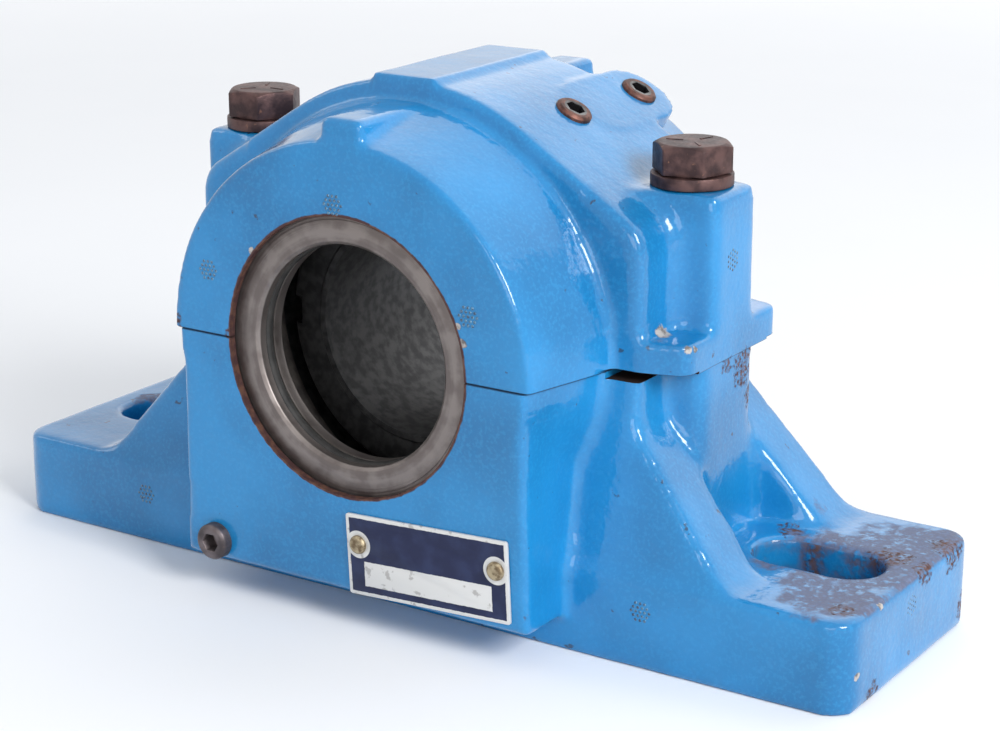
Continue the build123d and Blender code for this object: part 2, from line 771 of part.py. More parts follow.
with BuildPart() as guide_ring:
    with BuildSketch(bearing_plane):
        with BuildLine():
            inside = inner_land_radius + guide_ring_clearance
            outside = guide_ring_outside / 2
            half_in = roller_centre_y - (roller_length / 2) * cos(contact_angle)
            half_in = half_in - (pitch_radius - inside) * sin(contact_angle) - guide_ring_edge_gap
            half_out = half_in + (outside - inside) * tan(contact_angle)
            right_side = [(half_out, outside), (half_in, inside)]
            Polyline((-half_in, inside), (-half_out, outside), *right_side, close=True)
        make_face()
    revolve(axis=shaft_axis)
write(guide_ring, "guide_ring")

# Stabilising ring beside the bearing, open at the bottom
with BuildPart() as stabilising_ring:
    ring_start = bearing_y - bearing_width / 2
    with BuildSketch(Plane(origin=(0, ring_start, centre_height), x_dir=(1, 0, 0), z_dir=(0, -1, 0))):
        Circle(bearing_outside / 2)
        Circle(stabilising_ring_inside / 2, mode=Mode.SUBTRACT)
        gap_depth = 0.6 * bearing_outside
        gap_half = gap_depth * tan(radians(stabilising_ring_gap_angle / 2))
        with BuildLine():
            Polyline((0, 0), (-gap_half, -gap_depth), (gap_half, -gap_depth), close=True)
        make_face(mode=Mode.SUBTRACT)
    extrude(amount=stabilising_ring_width)
write(stabilising_ring, "stabilising_ring")

# Adapter sleeve, slit along its length; the nut is on the small end of the taper
small_end = bearing_y - bearing_width / 2
nut_face = small_end - tab_washer_thickness
sleeve_start = nut_face - nut_width - sleeve_end_past_nut
sleeve_end = sleeve_start + sleeve_length
sleeve_small = small_bore - sleeve_clearance
sleeve_large = sleeve_small + (sleeve_end - small_end) / taper_ratio / 2
with BuildPart() as adapter_sleeve:
    with BuildSketch(radial_plane):
        with BuildLine():
            Polyline(
                (sleeve_start, shaft_diameter / 2),
                (sleeve_start, sleeve_small - sleeve_chamfer),
                (sleeve_start + sleeve_chamfer, sleeve_small),
                (small_end, sleeve_small),
                (sleeve_end, sleeve_large),
                (sleeve_end, shaft_diameter / 2),
                close=True,
            )
        make_face()
    revolve(axis=shaft_axis)
    with BuildSketch(split_plane):
        with Locations((0, (sleeve_start + sleeve_end) / 2)):
            Rectangle(sleeve_slit, sleeve_length + 2)
    extrude(amount=bearing_bore, mode=Mode.SUBTRACT)
write(adapter_sleeve, "adapter_sleeve")

# Lock nut with four notches, and the tabbed washer between it and the bearing
nut_plane = Plane(origin=(0, nut_face, centre_height), x_dir=(1, 0, 0), z_dir=(0, -1, 0))
bent_tab_radius = nut_outside / 2 - nut_notch_depth + bent_tab_gap
with BuildPart() as lock_nut:
    with BuildSketch(nut_plane):
        Circle(nut_outside / 2)
    extrude(amount=nut_width)
    chamfer(lock_nut.edges().sort_by(Axis.Y)[0], nut_chamfer)
    with BuildSketch(nut_plane):
        Circle(bearing_bore / 2 + thread_clearance)
        with PolarLocations(nut_outside / 2, nut_notch_count, start_angle=90):
            Rectangle(2 * nut_notch_depth, nut_notch_width)
    extrude(amount=nut_width, mode=Mode.SUBTRACT)
write(lock_nut, "lock_nut")

with BuildPart() as lock_nut_washer:
    with BuildSketch(nut_plane):
        Circle(tab_washer_root / 2)
        with PolarLocations((tab_washer_root + tab_washer_outside) / 4 - 0.5, tab_count, start_angle=90):
            Rectangle((tab_washer_outside - tab_washer_root) / 2 + 1, tab_width)
        Circle(bearing_bore / 2 + thread_clearance, mode=Mode.SUBTRACT)
        with Locations((0, bearing_bore / 2 - inner_tab_reach / 2 + 1)):
            Rectangle(inner_tab_width, inner_tab_reach + 2)
        # The tab at the nut's top notch ends at its bend
        with Locations((0, bent_tab_radius + tab_washer_thickness + nut_outside / 2)):
            Rectangle(2 * tab_width, nut_outside, mode=Mode.SUBTRACT)
    extrude(amount=-tab_washer_thickness)
    with BuildSketch(nut_plane):
        with Locations((0, bent_tab_radius + tab_washer_thickness / 2)):
            Rectangle(tab_width, tab_washer_thickness)
    extrude(amount=bent_tab_height)
write(lock_nut_washer, "lock_nut_washer")
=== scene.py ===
"""Dress a split plummer block for its pictures.

Two castings, softened as cast iron is and finished in blue enamel, stand for
the machined solids. The bolts, washers, plugs and plate get softened edges, and
every part gets its own procedural finish. Lengths in the classes are in
millimetres, with X along the base, Y along the shaft and Z up.
"""

import logging
import math
from dataclasses import dataclass
from enum import Enum

import bmesh
import bpy
from mathutils import Matrix, Vector, noise

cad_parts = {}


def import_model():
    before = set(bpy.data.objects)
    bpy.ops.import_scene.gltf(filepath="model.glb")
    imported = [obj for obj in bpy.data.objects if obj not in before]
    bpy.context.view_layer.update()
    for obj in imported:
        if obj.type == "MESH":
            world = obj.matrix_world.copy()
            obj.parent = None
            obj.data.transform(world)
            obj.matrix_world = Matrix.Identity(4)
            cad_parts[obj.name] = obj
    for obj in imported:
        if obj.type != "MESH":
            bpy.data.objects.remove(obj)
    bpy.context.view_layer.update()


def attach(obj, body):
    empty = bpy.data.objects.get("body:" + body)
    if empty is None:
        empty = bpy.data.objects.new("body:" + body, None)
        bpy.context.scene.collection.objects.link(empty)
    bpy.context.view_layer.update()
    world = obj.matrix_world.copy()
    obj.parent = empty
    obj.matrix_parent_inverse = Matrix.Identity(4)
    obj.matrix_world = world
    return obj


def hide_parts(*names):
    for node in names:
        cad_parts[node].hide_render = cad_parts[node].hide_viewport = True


LOG = logging.getLogger("plummer_block")
MM = 0.001
WELD = 0.0005
SEAM = 0.001
FAR = 1000.0
SPLIT = 76.2
FACE = 58.4
IMAGE_WIDTH = 1000
IMAGE_HEIGHT = 731

Socket = bpy.types.NodeSocket
Colour = tuple[float, float, float]
Point = tuple[float, float, float]


class Half(Enum):
    """The side of the joint that a casting lies on."""

    LOWER = -1
    UPPER = 1


class Cut(Enum):
    """How a helper shape changes a piece: the Boolean modifier's operation and solver."""

    TAKEN_AWAY = ("DIFFERENCE", "MANIFOLD")
    KEPT_INSIDE = ("INTERSECT", "EXACT")


class Graph:
    """The node tree of one material, with short calls for the nodes it needs."""

    def __init__(self, name: str) -> None:
        """Start a material with a Principled shader and a position in millimetres.

        Args:
            name: The material's name.
        """
        self.material = bpy.data.materials.new(name)
        self.material.use_nodes = True
        self.tree = self.material.node_tree
        self.tree.nodes.clear()
        self.shader = self.node("ShaderNodeBsdfPrincipled")
        output = self.node("ShaderNodeOutputMaterial")
        self.link(self.shader.outputs["BSDF"], output.inputs["Surface"])
        coordinates = self.node("ShaderNodeTexCoord")
        scale = self.node("ShaderNodeMapping")
        scale.inputs["Scale"].default_value = (1 / MM, 1 / MM, 1 / MM)
        self.link(coordinates.outputs["Object"], scale.inputs["Vector"])
        self.place = scale.outputs["Vector"]

    def node(self, kind: str, **settings: object) -> bpy.types.Node:
        """Add a node.

        Args:
            kind: The node's type name.
            **settings: Properties to set on it.

        Returns:
            The new node.
        """
        made = self.tree.nodes.new(kind)
        for key, value in settings.items():
            setattr(made, key, value)
        return made

    def link(self, start: Socket, end: Socket) -> None:
        """Join an output to an input."""
        self.tree.links.new(start, end)

    def feed(self, value: Socket | float | Colour, end: Socket) -> None:
        """Link a socket to an input, or set the input to a constant.

        Args:
            value: A socket, a number or a colour.
            end: The input.
        """
        if isinstance(value, bpy.types.NodeSocket):
            self.link(value, end)
        elif isinstance(value, tuple) and end.type == "RGBA":
            end.default_value = (*value, 1.0)
        else:
            end.default_value = value

    def set(self, **values: Socket | float | Colour) -> None:
        """Give shader inputs their values, with underscores for spaces in names."""
        for key, value in values.items():
            self.feed(value, self.shader.inputs[key.replace("_", " ")])

    def noise(self, size: float, detail: float = 2.0) -> Socket:
        """Make a noise.

        Args:
            size: The grain's size in millimetres.
            detail: How many finer layers are added.

        Returns:
            The noise from 0 to 1.
        """
        made = self.node("ShaderNodeTexNoise")
        made.inputs["Scale"].default_value = 1 / size
        made.inputs["Detail"].default_value = detail
        self.link(self.place, made.inputs["Vector"])
        return made.outputs["Fac"]

    def lines(self, along: Socket, width: float, detail: float = 2.0) -> Socket:
        """Make a noise that changes along one number only.

        Args:
            along: The number, such as a radius in millimetres.
            width: The lines' width.
            detail: How many finer layers are added.

        Returns:
            The noise from 0 to 1.
        """
        made = self.node("ShaderNodeTexNoise", noise_dimensions="1D")
        made.inputs["Scale"].default_value = 1 / width
        made.inputs["Detail"].default_value = detail
        self.link(along, made.inputs["W"])
        return made.outputs["Fac"]

    def math(self, operation: str, a: Socket | float, b: Socket | float = 0.0) -> Socket:
        """Combine two numbers.

        Args:
            operation: The Math node's operation.
            a: The first number.
            b: The second number.

        Returns:
            The result.
        """
        made = self.node("ShaderNodeMath", operation=operation)
        self.feed(a, made.inputs[0])
        self.feed(b, made.inputs[1])
        return made.outputs[0]

    def ramp(self, value: Socket, low: float, high: float) -> Socket:
        """Rise smoothly from 0 to 1 as a value goes from low to high.

        Args:
            value: The number to read.
            low: Where the result is 0.
            high: Where the result is 1.

        Returns:
            The result from 0 to 1.
        """
        made = self.node("ShaderNodeMapRange", interpolation_type="SMOOTHSTEP")
        self.link(value, made.inputs["Value"])
        made.inputs["From Min"].default_value = low
        made.inputs["From Max"].default_value = high
        return made.outputs["Result"]

    def mix(self, factor: Socket, a: Socket | Colour, b: Socket | Colour) -> Socket:
        """Blend two colours.

        Args:
            factor: 0 for the first and 1 for the second.
            a: The first colour.
            b: The second colour.

        Returns:
            The blended colour.
        """
        made = self.node("ShaderNodeMix", data_type="RGBA")
        self.link(factor, made.inputs["Factor"])
        self.feed(a, made.inputs[6])
        self.feed(b, made.inputs[7])
        return made.outputs[2]

    def blend(self, factor: Socket, a: float, b: float) -> Socket:
        """Return a number that goes from a to b as the factor goes from 0 to 1.

        Args:
            factor: The number from 0 to 1.
            a: The result at 0.
            b: The result at 1.

        Returns:
            The number.
        """
        made = self.node("ShaderNodeMapRange")
        self.link(factor, made.inputs["Value"])
        made.inputs["To Min"].default_value = a
        made.inputs["To Max"].default_value = b
        return made.outputs["Result"]

    def axis(self, which: str) -> Socket:
        """Return one coordinate of the position, in millimetres."""
        return self.parts(self.place)[which]

    def parts(self, vector: Socket) -> bpy.types.NodeOutputs:
        """Return the X, Y and Z outputs of a vector.

        Args:
            vector: The vector.

        Returns:
            The outputs, by name.
        """
        made = self.node("ShaderNodeSeparateXYZ")
        self.link(vector, made.inputs["Vector"])
        return made.outputs

    def vector(self, operation: str, a: Socket, b: Point = (0.0, 0.0, 0.0)) -> bpy.types.Node:
        """Return a Vector Math node of a socket and a constant.

        Args:
            operation: The Vector Math node's operation.
            a: The first vector.
            b: The second vector, a constant.

        Returns:
            The node.
        """
        made = self.node("ShaderNodeVectorMath", operation=operation)
        self.link(a, made.inputs[0])
        made.inputs[1].default_value = b
        return made

    def distance(self, point: Point) -> Socket:
        """Return the distance in millimetres from a point."""
        return self.vector("DISTANCE", self.place, point).outputs["Value"]

    def radius(self, height: float) -> Socket:
        """Return the distance in millimetres from the line along Y at a height.

        Args:
            height: The line's height in millimetres.

        Returns:
            The distance.
        """
        moved = self.vector("SUBTRACT", self.place, (0.0, 0.0, height)).outputs["Vector"]
        flat = self.vector("MULTIPLY", moved, (1.0, 0.0, 1.0)).outputs["Vector"]
        return self.vector("LENGTH", flat).outputs["Value"]

    def inside(self, low: Point, high: Point, both_sides: bool = False) -> Socket:
        """Return 1 inside a box and 0 outside.

        Args:
            low: The box's low corner in millimetres.
            high: Its high corner.
            both_sides: Whether to mirror the box in X and in Y.

        Returns:
            The mask.
        """
        place = self.vector("ABSOLUTE", self.place).outputs["Vector"] if both_sides else self.place
        middle = (Vector(low) + Vector(high)) / 2
        half = (Vector(high) - Vector(low)) / 2
        offset = self.vector("SUBTRACT", place, tuple(middle)).outputs["Vector"]
        reach = self.vector("ABSOLUTE", offset).outputs["Vector"]
        parts = self.parts(self.vector("SUBTRACT", reach, tuple(half)).outputs["Vector"])
        return self.math("LESS_THAN", self.most([parts[axis] for axis in "XYZ"]), 0.0)

    def outside(self, value: Socket) -> Socket:
        """Return 1 less a mask."""
        return self.math("SUBTRACT", 1.0, value)

    def patch(self, point: Point, radius: float, ragged: Socket) -> Socket:
        """Make a ragged patch round a point.

        Args:
            point: Its middle.
            radius: Its size in millimetres.
            ragged: Noise from 0 to 1 that breaks its edge.

        Returns:
            1 inside the patch and 0 outside.
        """
        shifted = self.math("ADD", self.distance(point), self.math("MULTIPLY", ragged, radius * 1.6))
        return self.outside(self.ramp(shifted, radius * 1.5, radius * 1.8))

    def most(self, values: list[Socket]) -> Socket:
        """Return the largest of several numbers.

        Args:
            values: The numbers.

        Returns:
            The largest number.
        """
        result = values[0]
        for value in values[1:]:
            result = self.math("MAXIMUM", result, value)
        return result

    def bump(self, height: Socket, depth: float, under: Socket | None = None) -> Socket:
        """Make a relief.

        Args:
            height: The height from 0 to 1.
            depth: The relief's depth in millimetres.
            under: A relief below it, or None.

        Returns:
            The normal.
        """
        made = self.node("ShaderNodeBump")
        made.inputs["Distance"].default_value = depth * MM
        self.link(height, made.inputs["Height"])
        if under is not None:
            self.link(under, made.inputs["Normal"])
        return made.outputs["Normal"]


@dataclass(frozen=True)
class Chip:
    """A spot where the enamel is off."""

    point: Point
    radius: float


@dataclass(frozen=True)
class Enamel:
    """Glossy blue enamel over rough cast iron, chipped, scuffed and rusty in places.

    The places of its patches and boxes are in the frame, in millimetres.
    """

    name: str = "blue_enamel"
    deep: Colour = (0.004, 0.140, 0.345)
    light: Colour = (0.010, 0.215, 0.500)
    lifted: Colour = (0.022, 0.290, 0.590)
    iron: Colour = (0.150, 0.135, 0.130)
    chip: Colour = (0.420, 0.400, 0.380)
    rust: Colour = (0.070, 0.036, 0.036)
    orange: Colour = (0.130, 0.066, 0.048)
    scuff: Colour = (0.120, 0.080, 0.088)
    scuff_pale: Colour = (0.150, 0.185, 0.290)
    # Near-black brown for the dark paint pits, and for the joint line and prising gaps: there partly
    # dark rust, partly painted shade.
    dark_and_shade: Colour = (0.022, 0.013, 0.011)
    grey: Colour = (0.260, 0.235, 0.215)
    coat: float = 0.9
    coat_roughness: float = 0.07
    bare_roughness: float = 0.78
    film: float = 0.16
    swell: float = 0.11
    peel: float = 0.07
    foot_top: tuple[float, float] = (23.6, 24.6)
    joint_reach: tuple[float, float] = (0.08, 0.5)
    inner_radius: float = 52.0
    face_land: float = 1.2
    bore: float = 38.5
    bore_edge: float = 0.12
    sump_low: Point = (-49.5, -47.0, 15.0)
    sump_high: Point = (49.5, 47.0, 76.0)
    # The prising gaps, coloured near-black inside: dark rust and painted shade in the recess.
    gap_low: Point = (63.6, 18.9, 74.2)
    gap_high: Point = (100.0, 50.0, 77.08)
    slot_low: Point = (92.5, -10.4, -1.0)
    slot_high: Point = (131.5, 10.4, 24.3)
    bare: tuple[Chip, ...] = (
        Chip((73.6, -19.3, 85.1), 3.0),
        Chip((84.9, -24.0, 84.6), 1.9),
        Chip((84.9, -21.0, 83.4), 1.2),
        Chip((38.2, -58.4, 86.8), 1.5),
        Chip((36.6, -58.4, 91.0), 1.0),
        Chip((-30.0, -58.4, 101.5), 1.2),
        Chip((139.7, -20.0, 24.8), 1.6),
        Chip((139.2, -33.0, 10.0), 1.2),
        Chip((58.0, -58.4, 50.0), 0.8),
    )
    rusty: tuple[Chip, ...] = (
        Chip((84.6, 8.0, 71.5), 6.5),
        Chip((84.6, -2.0, 74.0), 3.0),
        Chip((82.0, 12.0, 62.0), 4.0),
        Chip((-57.4, -58.0, 78.0), 2.4),
        Chip((58.1, -58.4, 14.5), 2.0),
        Chip((139.0, 26.0, 24.5), 6.5),
        Chip((139.7, -24.0, 1.5), 4.0),
        Chip((139.7, 34.0, 6.0), 5.0),
        Chip((139.7, 8.0, 24.6), 5.0),
        Chip((133.0, -30.0, 25.4), 4.0),
        Chip((128.0, 9.0, 25.4), 7.5),
        Chip((97.0, 13.0, 25.4), 4.0),
        Chip((-112.0, 9.6, 24.5), 4.5),
        Chip((-38.8, -58.4, 77.0), 2.0),
    )
    worn: tuple[Chip, ...] = (
        Chip((124.0, 3.0, 25.4), 28.0),
        Chip((128.0, -24.0, 25.4), 15.0),
        Chip((132.0, 26.0, 25.4), 16.0),
        Chip((-124.0, 6.0, 25.4), 9.0),
    )

    def off(self, graph: Graph, ragged: Socket, blotch: Socket) -> tuple[Socket, Socket, Socket]:
        """Find where the enamel is gone.

        Args:
            graph: The material's graph.
            ragged: Fine noise.
            blotch: Coarse noise.

        Returns:
            The masks of chips, of bare machined iron and of rust.
        """
        radius = graph.radius(SPLIT)
        reach = graph.math("ADD", radius, graph.math("MULTIPLY", ragged, 0.9))
        rim = graph.outside(graph.ramp(reach, self.bore + 0.9, self.bore + 1.3))
        along = graph.math("ABSOLUTE", graph.axis("Y"))
        deep_in = graph.math("LESS_THAN", along, FACE - self.face_land)
        inner = graph.math("MULTIPLY", graph.math("LESS_THAN", radius, self.inner_radius), deep_in)
        bore = graph.math("LESS_THAN", radius, self.bore + self.bore_edge)
        sump = graph.inside(self.sump_low, self.sump_high)
        machined = graph.most([inner, bore, sump])
        slot = graph.inside(self.slot_low, self.slot_high)
        slot = graph.math("MULTIPLY", slot, graph.ramp(blotch, 0.28, 0.70))
        slot = graph.math("MULTIPLY", slot, graph.ramp(ragged, 0.30, 0.60))
        chips = graph.most([graph.patch(chip.point, chip.radius, ragged) for chip in self.bare])
        spots = graph.most([graph.patch(chip.point, chip.radius, ragged) for chip in self.rusty])
        spots = graph.math("MULTIPLY", spots, graph.ramp(graph.noise(1.2, 6.0), 0.36, 0.64))
        return chips, machined, graph.most([spots, rim, slot])

    def material(self) -> bpy.types.Material:
        """Return the enamel's material.

        Returns:
            The material.
        """
        graph = Graph(self.name)
        grain = graph.noise(1.7, 1.0)
        ragged = graph.noise(2.2, 5.0)
        blotch = graph.noise(8.0, 6.0)
        paint = graph.mix(graph.ramp(graph.noise(38.0), 0.3, 0.7), self.deep, self.light)
        speck = graph.math("MULTIPLY", graph.ramp(graph.noise(1.0, 2.0), 0.45, 0.70), 0.24)
        paint = graph.mix(speck, paint, self.lifted)
        pits = graph.outside(graph.ramp(graph.noise(4.2, 7.0), 0.27, 0.31))
        paint = graph.mix(graph.math("MULTIPLY", pits, 0.7), paint, self.dark_and_shade)
        chips, machined, rusty = self.off(graph, ragged, blotch)
        worn = graph.most([graph.patch(chip.point, chip.radius, blotch) for chip in self.worn])
        worn = graph.math("MULTIPLY", worn, graph.ramp(ragged, 0.22, 0.56))
        worn = graph.math("MULTIPLY", worn, graph.ramp(graph.axis("Z"), *self.foot_top))
        brown = graph.mix(graph.ramp(ragged, 0.40, 0.66), self.rust, self.orange)
        grey = graph.mix(graph.ramp(blotch, 0.40, 0.60), self.iron, self.grey)
        scuffed = graph.mix(graph.ramp(ragged, 0.38, 0.80), self.scuff, self.scuff_pale)
        # A dark band along the joint and in the prising gaps: partly the joint's own dark line and
        # rust, partly painted shade.
        joint = graph.math("ABSOLUTE", graph.math("SUBTRACT", graph.axis("Z"), SPLIT))
        joint = graph.math("MULTIPLY", graph.outside(graph.ramp(joint, *self.joint_reach)), 0.85)
        joint = graph.math("MAXIMUM", joint, graph.inside(self.gap_low, self.gap_high, both_sides=True))
        colour = graph.mix(graph.math("MULTIPLY", worn, 0.85), paint, scuffed)
        colour = graph.mix(chips, colour, graph.mix(graph.ramp(ragged, 0.4, 0.6), self.chip, self.iron))
        colour = graph.mix(machined, colour, grey)
        colour = graph.mix(rusty, colour, brown)
        colour = graph.mix(joint, colour, self.dark_and_shade)
        off = graph.most([graph.math("MULTIPLY", worn, 0.8), chips, machined, rusty, joint])
        swell = graph.bump(graph.noise(6.0, 1.0), self.swell)
        peel = graph.bump(grain, self.peel, swell)
        relief = graph.bump(graph.outside(off), self.film, peel)
        graph.set(
            Base_Color=colour,
            Roughness=graph.blend(off, 0.35, self.bare_roughness),
            Specular_IOR_Level=0.15,
            Metallic=graph.math("MULTIPLY", machined, 0.5),
            Coat_Weight=graph.blend(off, self.coat, 0.0),
            Coat_Roughness=self.coat_roughness,
            Coat_Normal=peel,
            Normal=relief,
        )
        return graph.material


@dataclass(frozen=True)
class Steel:
    """Bare steel in two tones, with a fine relief."""

    name: str
    dark: Colour
    light: Colour
    roughness: tuple[float, float] = (0.35, 0.55)
    metallic: float = 0.9
    grain: float = 1.2
    depth: float = 0.03

    def material(self) -> bpy.types.Material:
        """Return the steel's material.

        Returns:
            The material.
        """
        graph = Graph(self.name)
        tone = graph.noise(self.grain * 3, 5.0)
        fine = graph.noise(self.grain, 3.0)
        graph.set(
            Base_Color=graph.mix(graph.ramp(tone, 0.35, 0.65), self.dark, self.light),
            Roughness=graph.blend(fine, *self.roughness),
            Metallic=self.metallic,
            Normal=graph.bump(fine, self.depth),
        )
        return graph.material


@dataclass(frozen=True)
class RustedSteel:
    """Steel under a thin purple-brown rust with some bare, polished spots."""

    name: str
    dark: Colour = (0.038, 0.020, 0.021)
    brown: Colour = (0.105, 0.056, 0.052)
    orange: Colour = (0.200, 0.088, 0.052)

    def material(self) -> bpy.types.Material:
        """Return the rusted steel's material.

        Returns:
            The material.
        """
        graph = Graph(self.name)
        broad = graph.noise(5.0, 5.0)
        fine = graph.noise(0.9, 4.0)
        bloom = graph.ramp(graph.noise(1.6, 6.0), 0.63, 0.80)
        colour = graph.mix(graph.ramp(broad, 0.35, 0.65), self.dark, self.brown)
        colour = graph.mix(bloom, colour, self.orange)
        graph.set(
            Base_Color=colour,
            Roughness=graph.blend(fine, 0.34, 0.62),
            Metallic=graph.blend(bloom, 0.60, 0.10),
            Normal=graph.bump(fine, 0.06, graph.bump(broad, 0.12)),
        )
        return graph.material


@dataclass(frozen=True)
class TurnedSteel:
    """Dull grey steel with the fine rings that turning leaves."""

    name: str
    dark: Colour
    light: Colour
    pitch: float = 0.45
    band: float = 1 / 0.45
    centre: float = SPLIT

    def material(self) -> bpy.types.Material:
        """Return the turned steel's material.

        Returns:
            The material.
        """
        graph = Graph(self.name)
        radius = graph.radius(self.centre)
        rings = graph.lines(radius, self.pitch)
        stain = graph.noise(7.0, 5.0)
        tone = graph.math("ADD", stain, graph.blend(graph.lines(radius, self.band), -0.2, 0.2))
        graph.set(
            Base_Color=graph.mix(graph.ramp(tone, 0.35, 0.65), self.dark, self.light),
            Roughness=graph.blend(stain, 0.34, 0.52),
            Metallic=0.85,
            Normal=graph.bump(rings, 0.05),
        )
        return graph.material


@dataclass(frozen=True)
class PlugSteel:
    """A plug with a rusty rim and a socket coloured glossy black."""

    name: str = "plug_steel"
    socket: float = 3.35
    dark: Colour = (0.050, 0.022, 0.018)
    brown: Colour = (0.150, 0.062, 0.045)
    socket_black: Colour = (0.006, 0.006, 0.007)

    def material(self) -> bpy.types.Material:
        """Return the plugs' material.

        Returns:
            The material.
        """
        graph = Graph(self.name)
        seats = [graph.distance(plug.seat) for plug in PLUGS]
        nearest = graph.math("MINIMUM", graph.math("MINIMUM", seats[0], seats[1]), seats[2])
        rim = graph.ramp(nearest, self.socket, self.socket + 0.3)
        fine = graph.noise(0.8, 4.0)
        steel = graph.mix(graph.ramp(graph.noise(2.4, 5.0), 0.38, 0.64), self.dark, self.brown)
        # Glossy black within the socket's radius, rusty steel outside it.
        graph.set(
            Base_Color=graph.mix(rim, self.socket_black, steel),
            Roughness=graph.blend(rim, 0.10, 0.48),
            Metallic=graph.math("MULTIPLY", rim, 0.55),
            Normal=graph.bump(graph.math("MULTIPLY", fine, rim), 0.07),
        )
        return graph.material


@dataclass(frozen=True)
class VentPaint:
    """The enamel on the small vent marks, darkened as painted shade so that the dots stand out."""

    name: str = "vent_enamel"
    shade_dark: Colour = (0.006, 0.045, 0.100)
    shade_light: Colour = (0.060, 0.190, 0.310)

    def material(self) -> bpy.types.Material:
        """Return the vent marks' material.

        Returns:
            The material.
        """
        graph = Graph(self.name)
        # Both tones are painted shade round the raised dots.
        tone = graph.ramp(graph.noise(0.9, 3.0), 0.40, 0.62)
        graph.set(
            Base_Color=graph.mix(tone, self.shade_dark, self.shade_light),
            Roughness=0.3,
            Coat_Weight=0.6,
            Normal=graph.bump(graph.noise(0.6), 0.03),
        )
        return graph.material


@dataclass(frozen=True)
class Rubber:
    """Matt black rubber with a faint bloom."""

    name: str = "black_rubber"
    black: Colour = (0.010, 0.010, 0.010)
    bloom: Colour = (0.028, 0.027, 0.026)

    def material(self) -> bpy.types.Material:
        """Return the rubber's material.

        Returns:
            The material.
        """
        graph = Graph(self.name)
        fine = graph.noise(0.8, 3.0)
        graph.set(
            Base_Color=graph.mix(graph.ramp(graph.noise(4.0), 0.3, 0.7), self.black, self.bloom),
            Roughness=graph.blend(fine, 0.55, 0.75),
            Normal=graph.bump(fine, 0.03),
        )
        return graph.material


@dataclass(frozen=True)
class PlatePrint:
    """A blank plate: dark blue field, pale rim, a pale window and a round notch at each rivet."""

    name: str = "plate_print"
    centre: Point = (26.6, -FACE, SPLIT - 53.0)
    turn: float = 2.7
    half_width: float = 26.0
    half_height: float = 11.45
    rim: float = 1.0
    rivet_x: float = 22.2
    rivet_rise: float = 3.0
    notch: float = 3.9
    window_half_width: float = 20.6
    window_half_height: float = 3.5
    window_drop: float = 5.1
    edge: float = 0.06
    notch_edge: float = 0.08
    field: Colour = (0.010, 0.015, 0.052)
    faded: Colour = (0.018, 0.027, 0.078)
    pale: Colour = (0.640, 0.640, 0.630)
    scratched: Colour = (0.420, 0.410, 0.400)

    def material(self) -> bpy.types.Material:
        """Return the plate's material.

        Returns:
            The material.
        """
        graph = Graph(self.name)
        local = graph.node("ShaderNodeMapping", vector_type="TEXTURE")
        local.inputs["Location"].default_value = self.centre
        local.inputs["Rotation"].default_value = (0.0, math.radians(-self.turn), 0.0)
        graph.link(graph.place, local.inputs["Vector"])
        parts = graph.parts(local.outputs["Vector"])
        along, up = parts["X"], parts["Z"]
        fray = graph.math("MULTIPLY", graph.math("SUBTRACT", graph.noise(1.4, 4.0), 0.5), 0.35)

        def box(half_width: float, half_height: float, rise: float) -> Socket:
            """Return 1 inside a box on the plate and 0 outside.

            Args:
                half_width: Half of the box's width.
                half_height: Half of its height.
                rise: Its middle's height on the plate.

            Returns:
                The mask.
            """
            x = graph.math("SUBTRACT", graph.math("ABSOLUTE", along), half_width)
            away = graph.math("ABSOLUTE", graph.math("SUBTRACT", up, rise))
            y = graph.math("SUBTRACT", away, half_height)
            edge = graph.math("ADD", graph.math("MAXIMUM", x, y), fray)
            return graph.outside(graph.ramp(edge, -self.edge, self.edge))

        def disc(x: float) -> Socket:
            """Return 1 in the round notch about a rivet and 0 outside.

            Args:
                x: The rivet's place along the plate.

            Returns:
                The mask.
            """
            run = graph.math("POWER", graph.math("SUBTRACT", along, x), 2.0)
            rise = graph.math("POWER", graph.math("SUBTRACT", up, self.rivet_rise), 2.0)
            reach = graph.math("SQRT", graph.math("ADD", run, rise))
            past = graph.ramp(reach, self.notch - self.notch_edge, self.notch + self.notch_edge)
            return graph.outside(past)

        field = box(self.half_width - self.rim, self.half_height - self.rim, 0.0)
        window = box(self.window_half_width, self.window_half_height, -self.window_drop)
        notches = graph.math("MAXIMUM", disc(-self.rivet_x), disc(self.rivet_x))
        printed = graph.math("SUBTRACT", field, graph.math("MAXIMUM", window, notches))
        printed = graph.math("MAXIMUM", printed, 0.0)
        scratch = graph.ramp(graph.noise(3.0, 8.0), 0.60, 0.66)
        pale = graph.mix(scratch, self.pale, self.scratched)
        field_tone = graph.mix(graph.ramp(graph.noise(6.0, 5.0), 0.4, 0.7), self.field, self.faded)
        graph.set(
            Base_Color=graph.mix(printed, pale, field_tone),
            Roughness=graph.blend(printed, 0.42, 0.30),
            Specular_IOR_Level=0.3,
            Metallic=graph.blend(printed, 0.3, 0.0),
            Normal=graph.bump(graph.noise(1.1, 4.0), 0.02),
        )
        return graph.material


def mesh_object(name: str, work: bmesh.types.BMesh) -> bpy.types.Object:
    """Turn a bmesh in millimetres into an object in metres, and free the bmesh.

    Args:
        name: The object's name.
        work: The bmesh.

    Returns:
        The object, at the origin.
    """
    bmesh.ops.scale(work, vec=(MM, MM, MM), verts=work.verts)
    mesh = bpy.data.meshes.new(name)
    work.to_mesh(mesh)
    work.free()
    made = bpy.data.objects.new(name, mesh)
    bpy.context.scene.collection.objects.link(made)
    return made


def read_mesh(mesh: bpy.types.Mesh) -> bmesh.types.BMesh:
    """Return a bmesh in millimetres of a mesh in metres, with its doubles merged.

    Args:
        mesh: The mesh.

    Returns:
        The bmesh.
    """
    work = bmesh.new()
    work.from_mesh(mesh)
    bmesh.ops.scale(work, vec=(1 / MM, 1 / MM, 1 / MM), verts=work.verts)
    bmesh.ops.remove_doubles(work, verts=work.verts, dist=WELD)
    return work


